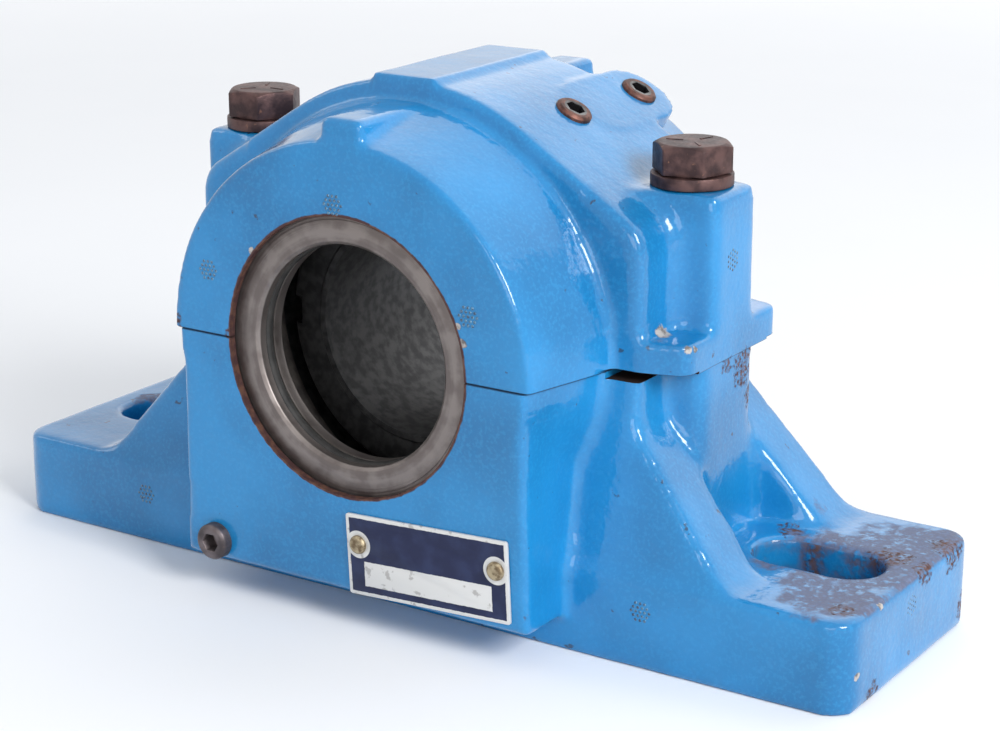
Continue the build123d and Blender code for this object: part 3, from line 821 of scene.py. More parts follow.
def settle(made: bpy.types.Object) -> None:
    """Replace an object's mesh by what its modifiers make of it.

    Args:
        made: The object.
    """
    evaluated = made.evaluated_get(bpy.context.evaluated_depsgraph_get())
    result = bpy.data.meshes.new_from_object(evaluated)
    former = made.data
    made.modifiers.clear()
    made.data = result
    bpy.data.meshes.remove(former)


def discard(made: bpy.types.Object) -> None:
    """Remove a helper object and its mesh.

    Args:
        made: The object.
    """
    mesh = made.data
    bpy.data.objects.remove(made)
    bpy.data.meshes.remove(mesh)


def carve(made: bpy.types.Object, tool: bpy.types.Object, way: Cut) -> None:
    """Change an object with a closed helper shape, and remove the helper.

    Args:
        made: The object.
        tool: The closed helper shape.
        way: How the helper changes it.
    """
    cut = made.modifiers.new("carving", "BOOLEAN")
    cut.operation, cut.solver = way.value
    cut.object = tool
    settle(made)
    discard(tool)


def shade(made: bpy.types.Object, sharp_from: float) -> None:
    """Shade an object smoothly but for edges that bend more than an angle in degrees.

    Args:
        made: The object.
        sharp_from: The bend from which an edge stays sharp, in degrees.
    """
    work = bmesh.new()
    work.from_mesh(made.data)
    for face in work.faces:
        face.smooth = True
    for edge in work.edges:
        edge.smooth = edge.calc_face_angle(0.0) < math.radians(sharp_from)
    work.to_mesh(made.data)
    work.free()


def finish_piece(
    made: bpy.types.Object,
    material: bpy.types.Material,
    body: str,
    nodes: tuple[str, ...],
) -> bpy.types.Object:
    """Give a piece its material and body, and hide the nodes that it stands for.

    Args:
        made: The piece.
        material: Its material.
        body: The body that it rides on.
        nodes: The CAD nodes that it replaces.

    Returns:
        The piece.
    """
    made.data.materials.clear()
    made.data.materials.append(material)
    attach(made, body)
    if nodes:
        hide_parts(*nodes)
    LOG.info("%s: %d vertices on %s", made.name, len(made.data.vertices), body)
    return made


def add_box(work: bmesh.types.BMesh, low: Point, high: Point) -> None:
    """Add a closed box between two corners to a bmesh.

    Args:
        work: The bmesh to change.
        low: The box's low corner.
        high: Its high corner.
    """
    low, high = Vector(low), Vector(high)
    place = Matrix.Translation((low + high) / 2) @ Matrix.Diagonal((*(high - low), 1.0))
    bmesh.ops.create_cube(work, size=1.0, matrix=place)


def pointing(axis: Point) -> Matrix:
    """Return the turn that points Z along an axis."""
    return Vector((0, 0, 1)).rotation_difference(Vector(axis)).to_matrix().to_4x4()


def add_round(
    work: bmesh.types.BMesh, centre: Point, axis: Point, radius: float, length: float
) -> None:
    """Add a closed cylinder to a bmesh.

    Args:
        work: The bmesh.
        centre: The cylinder's middle.
        axis: Its direction.
        radius: Its radius.
        length: Its length.
    """
    bmesh.ops.create_cone(
        work, cap_ends=True, segments=72, radius1=radius, radius2=radius, depth=length,
        matrix=Matrix.Translation(centre) @ pointing(axis),
    )


def round_edges(work: bmesh.types.BMesh, edges: list[bmesh.types.BMEdge], width: float) -> None:
    """Round edges over a width in millimetres.

    Args:
        work: The bmesh to change.
        edges: The edges.
        width: The rounding's width.
    """
    bmesh.ops.bevel(
        work, geom=edges, affect="EDGES", offset=width, segments=2, profile=0.5, material=-1,
    )


def round_sharp(work: bmesh.types.BMesh, flat: float, sharp: float, width: float) -> None:
    """Merge the faces of flat parts and round the edges between them.

    Args:
        work: The bmesh.
        flat: The bend in degrees up to which two faces count as one.
        sharp: The bend from which an edge is rounded.
        width: The rounding's width in millimetres.
    """
    bmesh.ops.dissolve_limit(
        work, angle_limit=math.radians(flat), verts=work.verts, edges=work.edges
    )
    edges = [edge for edge in work.edges if edge.calc_face_angle(0.0) > math.radians(sharp)]
    bmesh.ops.bevel(
        work, geom=edges, affect="EDGES", offset=width, segments=2, profile=0.5, material=-1,
        clamp_overlap=True,
    )


@dataclass(frozen=True)
class Plug:
    """A screwed plug's seat: its node, its middle on the surface and its direction."""

    node: str
    seat: Point
    out: Point


BAND_RADIUS = 70.0
PLUG_TILT = math.radians(30.0)
PLUG_OUT = (math.sin(PLUG_TILT), 0.0, math.cos(PLUG_TILT))
PLUG_X = BAND_RADIUS * PLUG_OUT[0]
PLUG_Z = SPLIT + BAND_RADIUS * PLUG_OUT[2]
PLUGS = (
    Plug("grease_plug_centre", (PLUG_X, 0.0, PLUG_Z), PLUG_OUT),
    Plug("grease_plug_side", (PLUG_X, 34.5, PLUG_Z), PLUG_OUT),
    Plug("drain_plug", (-46.2, -FACE, 15.6), (0.0, -1.0, 0.0)),
)


@dataclass(frozen=True)
class Region:
    """A part of a casting, the same on both sides: spans of its distances along X, Y and Z.

    Z counts from the joint, and the region begins at a distance from the shaft's axis.
    """

    x: tuple[float, float]
    y: tuple[float, float]
    z: tuple[float, float]
    beyond: float = 0.0

    def holds(self, place: Vector) -> bool:
        """Return whether a point lies in the region.

        Args:
            place: The point in millimetres.

        Returns:
            Whether it does.
        """
        reach = (abs(place.x), abs(place.y), abs(place.z - SPLIT))
        spans = zip(reach, (self.x, self.y, self.z))
        within = all(low < value < high for value, (low, high) in spans)
        return within and math.hypot(reach[0], reach[2]) > self.beyond


ANYWHERE = (-1.0, FAR)
MOULDED = {
    Half.LOWER: Region((56.0, FAR), (-1.0, 40.0), (2.0, 49.5), beyond=61.0),
    Half.UPPER: Region((55.0, FAR), ANYWHERE, (9.5, 48.0), beyond=61.0),
}
ROUNDED = {
    Half.LOWER: Region((-1.0, 96.0), (33.0, FAR), (44.0, 56.0)),
    Half.UPPER: Region((79.0, FAR), ANYWHERE, (41.5, FAR)),
}


@dataclass
class Casting:
    """One half of the housing, softened as cast iron is, with machined bores left crisp.

    Its bores are filled before it is softened, with stock left on, and cut afterwards.
    """

    name: str
    node: str
    half: Half
    voxel: float
    stock: float = 0.8
    past: float = 1.0
    steps: int = 144
    seat_radius: float = 60.02
    seat_half_width: float = 20.55
    seat_fill: float = 61.5
    chamber_radius: float = 50.0
    chamber_end: float = 46.0
    chamber_fill: float = 51.5
    bore_radius: float = 38.5
    bore_fill: float = 46.0
    groove_radius: float = 44.5
    groove_width: float = 3.2
    groove_land: float = 2.0
    sump_width: float = 97.0
    sump_floor: float = 17.0
    sump_drop: float = 5.0
    sump_rib: float = 6.5
    prise_start: float = 63.5
    prise_land: float = 19.0
    prise_reach: tuple[float, float] = (95.0, 45.0)
    prise_lower: float = 1.9
    prise_upper: float = 0.8
    recess: float = 1.0
    recess_start: float = 60.0
    plug_radius: float = 5.19
    plug_depth: float = 6.8
    plug_past: float = 6.0
    barrel_face_radius: float = 57.4
    barrel_band_radius: float = 64.2
    barrel_overhang: float = 1.6
    barrel_end: float = 28.0
    soft_passes: int = 4
    hollow_passes: int = 14
    round_passes: int = 12
    groove_rise: float = 0.35
    groove_depth: float = 0.40
    swell: float = 0.12
    swell_wave: float = 12.0
    ripple: float = 0.03
    ripple_wave: float = 3.4
    crease: float = 38.0

    def core_profile(self) -> list[tuple[float, float]]:
        """Return the core's outline on one side, as distances along and from the shaft's axis.

        Returns:
            The outline's corners.
        """
        line = [(0.0, self.seat_radius), (self.seat_half_width, self.seat_radius)]
        line += [(self.seat_half_width, self.chamber_radius), (self.chamber_end, self.chamber_radius)]
        line.append((self.chamber_end, self.bore_radius))
        start = self.chamber_end + self.groove_land
        for _ in range(2):
            end = start + self.groove_width
            line += [(start, self.bore_radius), (start, self.groove_radius)]
            line += [(end, self.groove_radius), (end, self.bore_radius)]
            start = end + self.groove_land
        end = FACE + 2 * self.past
        return [*line, (end, self.bore_radius), (end, 0.0)]

    def add_core(self, work: bmesh.types.BMesh) -> None:
        """Spin the core's outline about the shaft's axis into a bmesh.

        Args:
            work: The bmesh to change.
        """
        half = self.core_profile()
        line = [(-along, out) for along, out in reversed(half[1:])] + half[1:]
        verts = [work.verts.new((0.0, along, SPLIT + out)) for along, out in line]
        edges = [work.edges.new(pair) for pair in zip(verts, verts[1:])]
        bmesh.ops.spin(
            work, geom=verts + edges, cent=(0, 0, SPLIT), axis=(0, 1, 0), dvec=(0, 0, 0),
            angle=math.tau, steps=self.steps, use_merge=True, use_duplicate=False,
        )
        bmesh.ops.remove_doubles(work, verts=work.verts, dist=SEAM)

    def add_barrel(self, work: bmesh.types.BMesh) -> None:
        """Add the barrel, which widens from both end faces towards the band.

        Args:
            work: The bmesh to change.
        """
        length = FACE - self.barrel_end
        wider = self.barrel_overhang * self.half.value / 2
        for side in (-1, 1):
            turn = Matrix.Rotation(math.radians(90.0 * side), 4, "X")
            place = Matrix.Translation((0, side * (FACE - length / 2), SPLIT))
            bmesh.ops.create_cone(
                work, cap_ends=True, segments=self.steps, depth=length, matrix=place @ turn,
                radius1=self.barrel_face_radius + wider, radius2=self.barrel_band_radius + wider,
            )

    def sumps(self, grow: float) -> list[tuple[Point, Point]]:
        """Return the corners of the two oil sumps, grown by a length.

        Args:
            grow: By how much they grow.

        Returns:
            A low and a high corner for each sump.
        """
        start, end = self.seat_half_width + self.sump_rib, self.chamber_end
        half = self.sump_width / 2 + grow
        floor, top = self.sump_floor - grow, SPLIT - self.sump_drop + grow
        spans = ((start - grow, end + grow), (-end - grow, -start + grow))
        return [((-half, near, floor), (half, far, top)) for near, far in spans]

    def prises(self) -> list[tuple[Point, Point]]:
        """Return the corners of the four prising gaps.

        Returns:
            A low and a high corner for each gap.
        """
        low = SPLIT - (self.prise_lower if self.half is Half.LOWER else self.past)
        high = SPLIT + (self.prise_upper if self.half is Half.UPPER else self.past)
        rows = []
        for side in (-1, 1):
            for end in (-1, 1):
                x = sorted((side * self.prise_start, side * self.prise_reach[0]))
                y = sorted((end * self.prise_land, end * self.prise_reach[1]))
                rows.append(((x[0], y[0], low), (x[1], y[1], high)))
        return rows

    def plugs(self) -> list[Plug]:
        """Return the plugs that sit in this casting."""
        return [plug for plug in PLUGS if (plug.seat[2] > SPLIT) == (self.half is Half.UPPER)]

    def blank(self) -> bpy.types.Object:
        """Return the casting as one closed shell, mirrored at the joint, with its bores filled.

        Returns:
            The helper object.
        """
        node = bpy.data.objects[self.node]
        work = read_mesh(node.data)
        bmesh.ops.translate(work, vec=(0, 0, -SPLIT), verts=work.verts)
        recess = self.half.value * self.recess
        for vert in work.verts:
            if abs(vert.co.x) > self.recess_start and abs(vert.co.z - recess) < 0.02:
                vert.co.z = 0.0
        bmesh.ops.remove_doubles(work, verts=work.verts, dist=WELD)
        joint = [f for f in work.faces if all(abs(v.co.z) < 0.01 for v in f.verts)]
        bmesh.ops.delete(work, geom=joint, context="FACES")
        geom = work.verts[:] + work.edges[:] + work.faces[:]
        bmesh.ops.mirror(work, geom=geom, matrix=Matrix(), merge_dist=0.01, axis="Z")
        bmesh.ops.translate(work, vec=(0, 0, SPLIT), verts=work.verts)
        fills = (
            (FACE, self.bore_fill),
            (self.chamber_end + self.past, self.chamber_fill),
            (self.seat_half_width + self.past, self.seat_fill),
        )
        for half_length, radius in fills:
            add_round(work, (0, 0, SPLIT), (0, 1, 0), radius, 2 * half_length)
        self.add_barrel(work)
        if self.half is Half.LOWER:
            for low, high in self.sumps(self.stock):
                add_box(work, low, high)
        for plug in self.plugs():
            middle = Vector(plug.seat) - Vector(plug.out) * (self.plug_depth + self.stock) / 2
            add_round(work, middle, plug.out, self.plug_radius + self.stock, self.plug_depth)
        return mesh_object(self.name + "_blank", work)

    def cutter(self) -> bpy.types.Object:
        """Return what is machined out of the casting, as closed shells.

        Returns:
            The helper object.
        """
        work = bmesh.new()
        self.add_core(work)
        for low, high in self.prises():
            add_box(work, low, high)
        for plug in self.plugs():
            middle = Vector(plug.seat) - Vector(plug.out) * (self.plug_depth - self.plug_past) / 2
            length = self.plug_depth + self.plug_past
            add_round(work, middle, plug.out, self.plug_radius, length)
        bmesh.ops.recalc_face_normals(work, faces=work.faces)
        return mesh_object(self.name + "_cutter", work)

    def soften(self, work: bmesh.types.BMesh) -> None:
        """Round the edges, deepen the hollows beside the columns, and add the cast skin's swell.

        Args:
            work: The bmesh to change.
        """
        settings = {"factor": 0.5, "use_axis_x": True, "use_axis_y": True, "use_axis_z": True}
        for _ in range(self.soft_passes):
            bmesh.ops.smooth_vert(work, verts=work.verts, **settings)
        softer = ((MOULDED, self.hollow_passes), (ROUNDED, self.round_passes))
        for regions, passes in softer:
            verts = [vert for vert in work.verts if regions[self.half].holds(vert.co)]
            for _ in range(passes):
                bmesh.ops.smooth_vert(work, verts=verts, **settings)
        work.normal_update()
        moves = []
        for vert in work.verts:
            swell = noise.noise(vert.co / self.swell_wave) * self.swell
            swell += noise.noise(vert.co / self.ripple_wave) * self.ripple
            moves.append(vert.normal * (swell - (self.swell + self.ripple) / 2))
        for vert, move in zip(work.verts, moves):
            vert.co += move

    def trim(self, work: bmesh.types.BMesh) -> None:
        """Cut the mirrored shell at the joint, ease the edge and close it with a flat face.

        Args:
            work: The bmesh to change.
        """
        lower, upper = self.half is Half.LOWER, self.half is Half.UPPER
        level = SPLIT + self.half.value * self.groove_rise
        for height, clear in ((level, False), (SPLIT, True)):
            bmesh.ops.bisect_plane(
                work, geom=work.verts[:] + work.edges[:] + work.faces[:], dist=0.00001,
                plane_co=(0, 0, height), plane_no=(0, 0, 1),
                clear_outer=clear and lower, clear_inner=clear and upper,
            )
        work.normal_update()
        for vert in work.verts:
            share = 1.0 - abs(vert.co.z - SPLIT) / self.groove_rise
            flat = Vector((vert.normal.x, vert.normal.y, 0.0))
            if share > 0.0 and flat.length > 0.1:
                vert.co -= flat.normalized() * share * self.groove_depth
        rim = [edge for edge in work.edges if edge.is_boundary]
        bmesh.ops.triangle_fill(work, use_beauty=True, use_dissolve=False, edges=rim)
        bmesh.ops.recalc_face_normals(work, faces=work.faces)
        left = sum(1 for edge in work.edges if not edge.is_manifold)
        LOG.info("%s: %d open edges after the joint is closed", self.name, left)

    def build(self, material: bpy.types.Material) -> bpy.types.Object:
        """Make the casting.

        Args:
            material: The enamel.

        Returns:
            The finished piece.
        """
        made = self.blank()
        remesh = made.modifiers.new("voxels", "REMESH")
        remesh.mode = "VOXEL"
        remesh.voxel_size = self.voxel * MM
        settle(made)
        work = read_mesh(made.data)
        discard(made)
        self.soften(work)
        self.trim(work)
        made = mesh_object(self.name, work)
        carve(made, self.cutter(), Cut.TAKEN_AWAY)
        if self.half is Half.LOWER:
            work = bmesh.new()
            for low, high in self.sumps(0.0):
                add_box(work, low, high)
            carve(made, mesh_object(self.name + "_sumps", work), Cut.TAKEN_AWAY)
        shade(made, self.crease)
        return finish_piece(made, material, "housing", (self.node,))


@dataclass
class VentMarks:
    """Clusters of small raised dots that the core vents leave on the castings."""

    dot: float = 0.46
    rise: float = 0.30
    pitch: float = 1.35
    rings: int = 2
    sink: float = 0.12
    crease: float = 60.0
    places: tuple[tuple[Point, Point], ...] = (
        ((-2.5, -58.4, 117.7), (0, -1, 0)),
        ((-45.5, -58.4, 94.2), (0, -1, 0)),
        ((39.9, -58.4, 94.1), (0, -1, 0)),
        ((-89.2, -39.7, 14.9), (0, -1, 0)),
        ((80.6, -39.7, 16.2), (0, -1, 0)),
        ((139.6, -1.2, 18.2), (1, 0, 0)),
        ((85.2, -2.0, 103.1), (1, 0, 0)),
    )

    def build(self, material: bpy.types.Material) -> bpy.types.Object:
        """Make every cluster as one piece.

        Args:
            material: The enamel.

        Returns:
            The finished piece.
        """
        work = bmesh.new()
        flat = Matrix.Diagonal((self.dot, self.dot, self.rise, 1.0))
        for middle, out in self.places:
            place = Matrix.Translation(Vector(middle) - Vector(out) * self.sink) @ pointing(out)
            for spot in self.spots():
                matrix = place @ Matrix.Translation(spot) @ flat
                bmesh.ops.create_icosphere(work, subdivisions=2, radius=1.0, matrix=matrix)
        made = mesh_object("vent_marks", work)
        shade(made, self.crease)
        return finish_piece(made, material, "housing", ())

    def spots(self) -> list[Vector]:
        """Return the dots' places in one cluster, on a triangular grid.

        Returns:
            The places, flat on the casting.
        """
        found = []
        count = range(-self.rings, self.rings + 1)
        row_height = 0.866 * self.pitch
        for row in count:
            for column in count:
                spot = Vector((self.pitch * (column + row / 2), row_height * row, 0.0))
                if spot.length < self.pitch * (self.rings + 0.1):
                    found.append(spot)
        return found


@dataclass
class CapBolt:
    """A hexagon head bolt with turned-off corners and three raised lines on its head."""

    name: str
    node: str
    x: float
    turn: float
    seat: float = SPLIT + 45.3 + 3.2
    across_flats: float = 19.05
    head_height: float = 8.2
    washer_face: float = 0.35
    shank_radius: float = 6.35
    length: float = 69.85
    shank_chamfer: float = 1.2
    face_inset: float = 0.3
    face_edge: float = 0.2
    overlap: float = 0.02
    corner_angle: float = 30.0
    corner_inset: float = 0.5
    corner_edge: float = 0.35
    edge: float = 0.28
    flat_angle: float = 1.0
    sharp_angle: float = 22.0
    crease: float = 30.0
    steps: int = 96
    lines: int = 3
    line_middle: float = 4.9
    line_length: float = 4.6
    line_width: float = 0.7
    line_rise: float = 0.22
    line_edge: float = 0.14

    def corner(self) -> float:
        """Return the distance from the axis to the hexagon's corners."""
        return self.across_flats / 2 / math.cos(math.radians(30.0))

    def head(self) -> bpy.types.Object:
        """Return the head as a hexagon with softened upright edges.

        Returns:
            The helper object.
        """
        work = bmesh.new()
        height = self.head_height - self.washer_face
        middle = Vector((self.x, 0, self.seat + self.washer_face + height / 2))
        bmesh.ops.create_cone(
            work, cap_ends=True, segments=6, radius1=self.corner(), radius2=self.corner(),
            depth=height,
            matrix=Matrix.Translation(middle) @ Matrix.Rotation(math.radians(self.turn), 4, "Z"),
        )
        upright = [e for e in work.edges if abs(e.verts[0].co.z - e.verts[1].co.z) > 1]
        round_edges(work, upright, self.corner_edge)
        return mesh_object(self.name + "_head", work)

    def turned(self) -> bpy.types.Object:
        """Return the turned shape that takes the head's corners off.

        Returns:
            The helper object.
        """
        corner = self.corner() + 1.0
        flat = self.across_flats / 2 - self.corner_inset
        drop = (corner - flat) * math.tan(math.radians(self.corner_angle))
        base, top = self.seat - 1.0, self.seat + self.head_height
        line = [(0, base), (corner, base), (corner, top - drop), (flat, top), (0, top)]
        return mesh_object(self.name + "_turned", spun(line, self.x, self.steps))

    def build(self, material: bpy.types.Material) -> bpy.types.Object:
        """Make the bolt.

        Args:
            material: The rusted steel.

        Returns:
            The finished piece.
        """
        made = self.head()
        carve(made, self.turned(), Cut.KEPT_INSIDE)
        work = read_mesh(made.data)
        discard(made)
        round_sharp(work, self.flat_angle, self.sharp_angle, self.edge)
        join(work, spun(self.shank(), self.x, self.steps))
        self.add_lines(work)
        made = mesh_object(self.name, work)
        shade(made, self.crease)
        return finish_piece(made, material, "housing", (self.node,))

    def shank(self) -> list[tuple[float, float]]:
        """Return the outline of the shank and the washer face under the head.

        Returns:
            Distances from the axis and heights.
        """
        shank, chamfer = self.shank_radius, self.shank_chamfer
        bottom = self.seat - self.length
        face = self.across_flats / 2 - self.face_inset
        top = self.seat + self.washer_face + self.overlap
        line = [(0, bottom), (shank - chamfer, bottom), (shank, bottom + chamfer), (shank, self.seat)]
        line += [(face - self.face_edge, self.seat), (face, self.seat + self.face_edge)]
        return [*line, (face, top), (0, top)]

    def add_lines(self, work: bmesh.types.BMesh) -> None:
        """Add the raised lines on the head's top.

        Args:
            work: The bmesh to change.
        """
        top = Matrix.Translation((self.x, 0, self.seat + self.head_height))
        shape = Matrix.Diagonal((self.line_length, self.line_width, 2 * self.line_rise, 1.0))
        offset = Matrix.Translation((self.line_middle, 0, 0))
        for index in range(self.lines):
            angle = self.turn + 30 + 360 * index / self.lines
            turn = Matrix.Rotation(math.radians(angle), 4, "Z")
            bar = bmesh.new()
            bmesh.ops.create_cube(bar, size=1.0, matrix=top @ turn @ offset @ shape)
            round_edges(bar, bar.edges[:], self.line_edge)
            join(work, bar)


def spun(line: list[tuple[float, float]], x: float, steps: int) -> bmesh.types.BMesh:
    """Spin an outline about an upright axis.

    Args:
        line: The outline, as distances from the axis and heights.
        x: Where the axis stands.
        steps: How many steps make the full turn.

    Returns:
        The closed shape as a bmesh in millimetres.
    """
    work = bmesh.new()
    verts = [work.verts.new((x + out, 0, up)) for out, up in line]
    edges = [work.edges.new(pair) for pair in zip(verts, verts[1:])]
    bmesh.ops.spin(
        work, geom=verts + edges, cent=(x, 0, 0), axis=(0, 0, 1), dvec=(0, 0, 0),
        angle=math.tau, steps=steps, use_merge=True, use_duplicate=False,
    )
    bmesh.ops.remove_doubles(work, verts=work.verts, dist=SEAM)
    bmesh.ops.recalc_face_normals(work, faces=work.faces)
    return work


def join(work: bmesh.types.BMesh, other: bmesh.types.BMesh) -> None:
    """Add one bmesh's shape to another's, and free the first.

    Args:
        work: The bmesh to change.
        other: The bmesh to add.
    """
    mesh = bpy.data.meshes.new("joined")
    other.to_mesh(mesh)
    other.free()
    work.from_mesh(mesh)
    bpy.data.meshes.remove(mesh)


@dataclass
class SoftPart:
    """A small machined part: a merged copy of its node with its edges softened."""

    name: str
    node: str
    body: str
    slot: str
    edge: float = 0.2
    sharp_angle: float = 28.0
    flat_angle: float = 0.5
    crease: float = 40.0

    def build(self, material: bpy.types.Material) -> bpy.types.Object:
        """Make the part.

        Args:
            material: Its finish.

        Returns:
            The finished piece.
        """
        work = read_mesh(bpy.data.objects[self.node].data)
        round_sharp(work, self.flat_angle, self.sharp_angle, self.edge)
        made = mesh_object(self.name, work)
        shade(made, self.crease)
        return finish_piece(made, material, self.body, (self.node,))


BOLT_STEEL = RustedSteel("rusted_bolts")
DRAIN_STEEL = RustedSteel(
    "drain_steel", (0.060, 0.050, 0.054), (0.150, 0.125, 0.130), (0.190, 0.110, 0.085)
)
RIVET_METAL = Steel(
    "rivet_metal", (0.150, 0.105, 0.060), (0.420, 0.350, 0.230), (0.35, 0.60),
    metallic=0.7, grain=0.5, depth=0.06,
)
SEAL_STEEL = TurnedSteel("turned_seal", (0.150, 0.128, 0.122), (0.235, 0.208, 0.198))
GROUND_STEEL = Steel(
    "ground_steel", (0.420, 0.420, 0.430), (0.560, 0.560, 0.565), (0.12, 0.25),
    metallic=1.0, grain=0.6, depth=0.01,
)
PRESSED_STEEL = Steel(
    "pressed_steel", (0.250, 0.240, 0.220), (0.350, 0.340, 0.320), (0.35, 0.50),
    metallic=0.9, grain=1.5, depth=0.04,
)
PHOSPHATED_STEEL = Steel(
    "phosphated_steel", (0.055, 0.055, 0.058), (0.110, 0.110, 0.112), (0.40, 0.60),
    metallic=0.8, grain=1.0, depth=0.03,
)


@dataclass
class Housing:
    """The two castings and what is fastened to them."""

    base_voxel: float = 1.06
    cap_voxel: float = 0.92
    base_recess: float = 2.4
    bolts: tuple[tuple[str, float, float], ...] = (("left", -71.5, 87.5), ("right", 71.5, 44.0))
    washer_edge: float = 0.35
    plug_edge: float = 0.22
    plate_edge: float = 0.12
    rivet_edge: float = 0.1
    rivet_sharp: float = 50.0

    def build(self) -> None:
        """Make the castings, bolts, washers, plugs, plate and rivets."""
        enamel = Enamel().material()
        base = Casting("base_casting", "base_housing", Half.LOWER, self.base_voxel)
        base.recess = self.base_recess
        base.build(enamel)
        Casting("cap_casting", "cap_housing", Half.UPPER, self.cap_voxel).build(enamel)
        VentMarks().build(VentPaint().material())
        self.build_bolts()
        self.build_plugs()
        self.build_plate()

    def fasten(self, name: str, node: str, edge: float, finish: bpy.types.Material) -> None:
        """Make a small steel part with softened edges."""
        SoftPart(name, node, "housing", "rusty_steel", edge).build(finish)

    def build_bolts(self) -> None:
        """Make the cap bolts and their washers."""
        rust = BOLT_STEEL.material()
        for side, x, turn in self.bolts:
            CapBolt(f"bolt_{side}", f"cap_bolt_{side}", x, turn).build(rust)
            self.fasten(f"washer_{side}", f"lock_washer_{side}", self.washer_edge, rust)

    def build_plugs(self) -> None:
        """Make the screwed plugs."""
        plug_finish = PlugSteel().material()
        drain = DRAIN_STEEL.material()
        for plug in PLUGS:
            finish = drain if plug.node == "drain_plug" else plug_finish
            self.fasten(plug.node + "_screw", plug.node, self.plug_edge, finish)

    def build_plate(self) -> None:
        """Make the plate and its rivets."""
        print_finish = PlatePrint().material()
        plate = SoftPart("plate", "nameplate", "housing", "nameplate_metal", self.plate_edge)
        plate.build(print_finish)
        finish = RIVET_METAL.material()
        for side in ("left", "right"):
            node = f"nameplate_rivet_{side}"
            rivet = SoftPart(f"rivet_{side}", node, "housing", "rusty_steel", self.rivet_edge)
            rivet.sharp_angle = self.rivet_sharp
            rivet.build(finish)


@dataclass
class Running:
    """The seals, the bearing and the sleeve. All but the seals keep their CAD shapes."""

    seal_edge: float = 0.35

    def dress(self, finish: bpy.types.Material, *nodes: str) -> None:
        """Give CAD nodes a finish.

        Args:
            finish: The material.
            *nodes: The nodes' names.
        """
        for node in nodes:
            mesh = bpy.data.objects[node].data
            mesh.materials.clear()
            mesh.materials.append(finish)
            LOG.info("%s: %s", node, finish.name)

    def build(self) -> None:
        """Dress every node inside the housing and both seals."""
        seal = SEAL_STEEL.material()
        for end in ("front", "rear"):
            node = f"seal_ring_{end}"
            SoftPart(f"seal_{end}", node, "rotor", "seal_steel", self.seal_edge).build(seal)
        self.dress(Rubber().material(), "o_ring_front", "o_ring_rear")
        self.dress(
            GROUND_STEEL.material(), "bearing_outer_ring", "bearing_inner_ring",
            "rollers_front_row", "rollers_rear_row", "guide_ring", "dowel_pin_left",
            "dowel_pin_right",
        )
        self.dress(PRESSED_STEEL.material(), "cage_front", "cage_rear")
        self.dress(
            PHOSPHATED_STEEL.material(), "adapter_sleeve", "lock_nut", "lock_nut_washer",
            "stabilising_ring",
        )


@dataclass(frozen=True)
class Lamp:
    """A soft light: its name, place and size in metres, and power in watts."""

    name: str
    place: Point
    size: tuple[float, float]
    power: float


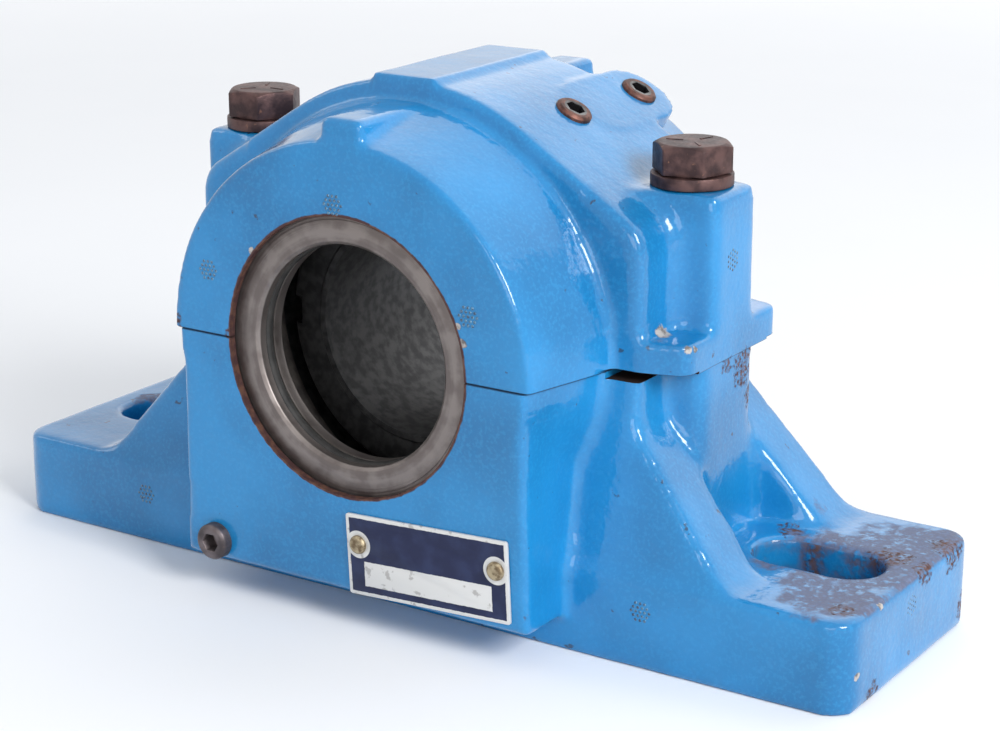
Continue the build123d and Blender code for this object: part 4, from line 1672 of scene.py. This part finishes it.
@dataclass
class Studio:
    """The camera, the pale floor and the soft lights."""

    position: Point = (365.381, -536.060, 258.383)
    forward: Point = (-0.52710167, 0.79779669, -0.29271877)
    up: Point = (-0.15920887, 0.2456479, 0.9561954)
    focal_pixels: float = 2374.71
    centre_x: float = 500.674
    centre_y: float = 364.653
    sensor: float = 36.0
    floor_reach: float = 4000.0
    floor_cool: Colour = (0.880, 0.888, 0.905)
    floor_warm: Colour = (0.900, 0.906, 0.920)
    floor_near: float = 600.0
    floor_far: float = 2600.0
    floor_glow: float = 0.5
    sky: Colour = (0.93, 0.96, 1.0)
    sky_strength: float = 0.55
    white: Colour = (1.0, 1.0, 1.0)
    target: Point = (0.0, 0.0, 0.06)
    lamps: tuple[Lamp, ...] = (
        Lamp("right", (1.25, -0.45, 0.85), (0.55, 0.55), 20.0),
        Lamp("back", (0.20, 1.70, 1.70), (4.00, 2.60), 26.0),
        Lamp("front", (0.55, -1.45, 0.45), (0.90, 0.50), 4.0),
        Lamp("left", (-1.20, -0.30, 0.90), (0.50, 0.50), 1.5),
    )

    def camera(self) -> None:
        """Put the camera where the photo was taken."""
        data = bpy.data.cameras.new("camera")
        data.sensor_width = self.sensor
        data.lens = self.focal_pixels * self.sensor / IMAGE_WIDTH
        data.shift_x = -(self.centre_x - IMAGE_WIDTH / 2) / IMAGE_WIDTH
        data.shift_y = (self.centre_y - IMAGE_HEIGHT / 2) / IMAGE_WIDTH
        data.clip_start, data.clip_end = 0.01, 50.0
        made = bpy.data.objects.new("camera", data)
        bpy.context.scene.collection.objects.link(made)
        forward, up = Vector(self.forward).normalized(), Vector(self.up).normalized()
        right = forward.cross(up).normalized()
        turn = Matrix((right, right.cross(forward), -forward)).transposed().to_4x4()
        made.matrix_world = Matrix.Translation(Vector(self.position) * MM) @ turn
        bpy.context.scene.camera = made

    def floor(self) -> None:
        """Lay a pale floor that brightens to white far away."""
        work = bmesh.new()
        bmesh.ops.create_grid(work, x_segments=1, y_segments=1, size=self.floor_reach)
        made = mesh_object("floor", work)
        graph = Graph("pale_floor")
        tone = graph.mix(graph.noise(90.0), self.floor_cool, self.floor_warm)
        far = graph.ramp(graph.distance((0.0, 0.0, 0.0)), self.floor_near, self.floor_far)
        glow = graph.math("MULTIPLY", far, self.floor_glow)
        graph.set(Base_Color=tone, Roughness=0.8, Specular_IOR_Level=0.2)
        graph.set(Emission_Color=self.white, Emission_Strength=glow)
        made.data.materials.append(graph.material)

    def hang(self, lamp: Lamp) -> None:
        """Hang a soft light that faces the object.

        Args:
            lamp: The light to hang.
        """
        data = bpy.data.lights.new(lamp.name, "AREA")
        data.shape = "RECTANGLE"
        data.size, data.size_y = lamp.size
        data.energy = lamp.power
        made = bpy.data.objects.new(lamp.name, data)
        bpy.context.scene.collection.objects.link(made)
        aim = Vector(self.target) - Vector(lamp.place)
        turn = aim.to_track_quat("-Z", "Y").to_matrix().to_4x4()
        made.matrix_world = Matrix.Translation(lamp.place) @ turn

    def world(self) -> None:
        """Show white to the camera and in reflections, and a soft grey to everything else."""
        world = bpy.data.worlds.new("soft_white")
        world.use_nodes = True
        nodes, links = world.node_tree.nodes, world.node_tree.links
        nodes.clear()
        output = nodes.new("ShaderNodeOutputWorld")
        mix = nodes.new("ShaderNodeMixShader")
        soft, white = nodes.new("ShaderNodeBackground"), nodes.new("ShaderNodeBackground")
        soft.inputs["Color"].default_value = (*self.sky, 1.0)
        soft.inputs["Strength"].default_value = self.sky_strength
        white.inputs["Color"].default_value = (*self.white, 1.0)
        path = nodes.new("ShaderNodeLightPath")
        seen = path.outputs["Is Camera Ray"]
        for ray in ("Is Glossy Ray", "Is Transmission Ray"):
            most = nodes.new("ShaderNodeMath")
            most.operation = "MAXIMUM"
            links.new(seen, most.inputs[0])
            links.new(path.outputs[ray], most.inputs[1])
            seen = most.outputs[0]
        links.new(seen, mix.inputs["Fac"])
        links.new(soft.outputs[0], mix.inputs[1])
        links.new(white.outputs[0], mix.inputs[2])
        links.new(mix.outputs[0], output.inputs["Surface"])
        bpy.context.scene.world = world

    def build(self) -> None:
        """Set up the camera, floor, lights and background."""
        self.camera()
        self.floor()
        for lamp in self.lamps:
            self.hang(lamp)
        self.world()
        bpy.context.scene.view_settings.view_transform = "Standard"


def main() -> None:
    """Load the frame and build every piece."""
    logging.basicConfig(level=logging.INFO, format="%(name)s: %(message)s")
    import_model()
    Studio().build()
    Housing().build()
    Running().build()


if __name__ == "__main__":
    main()
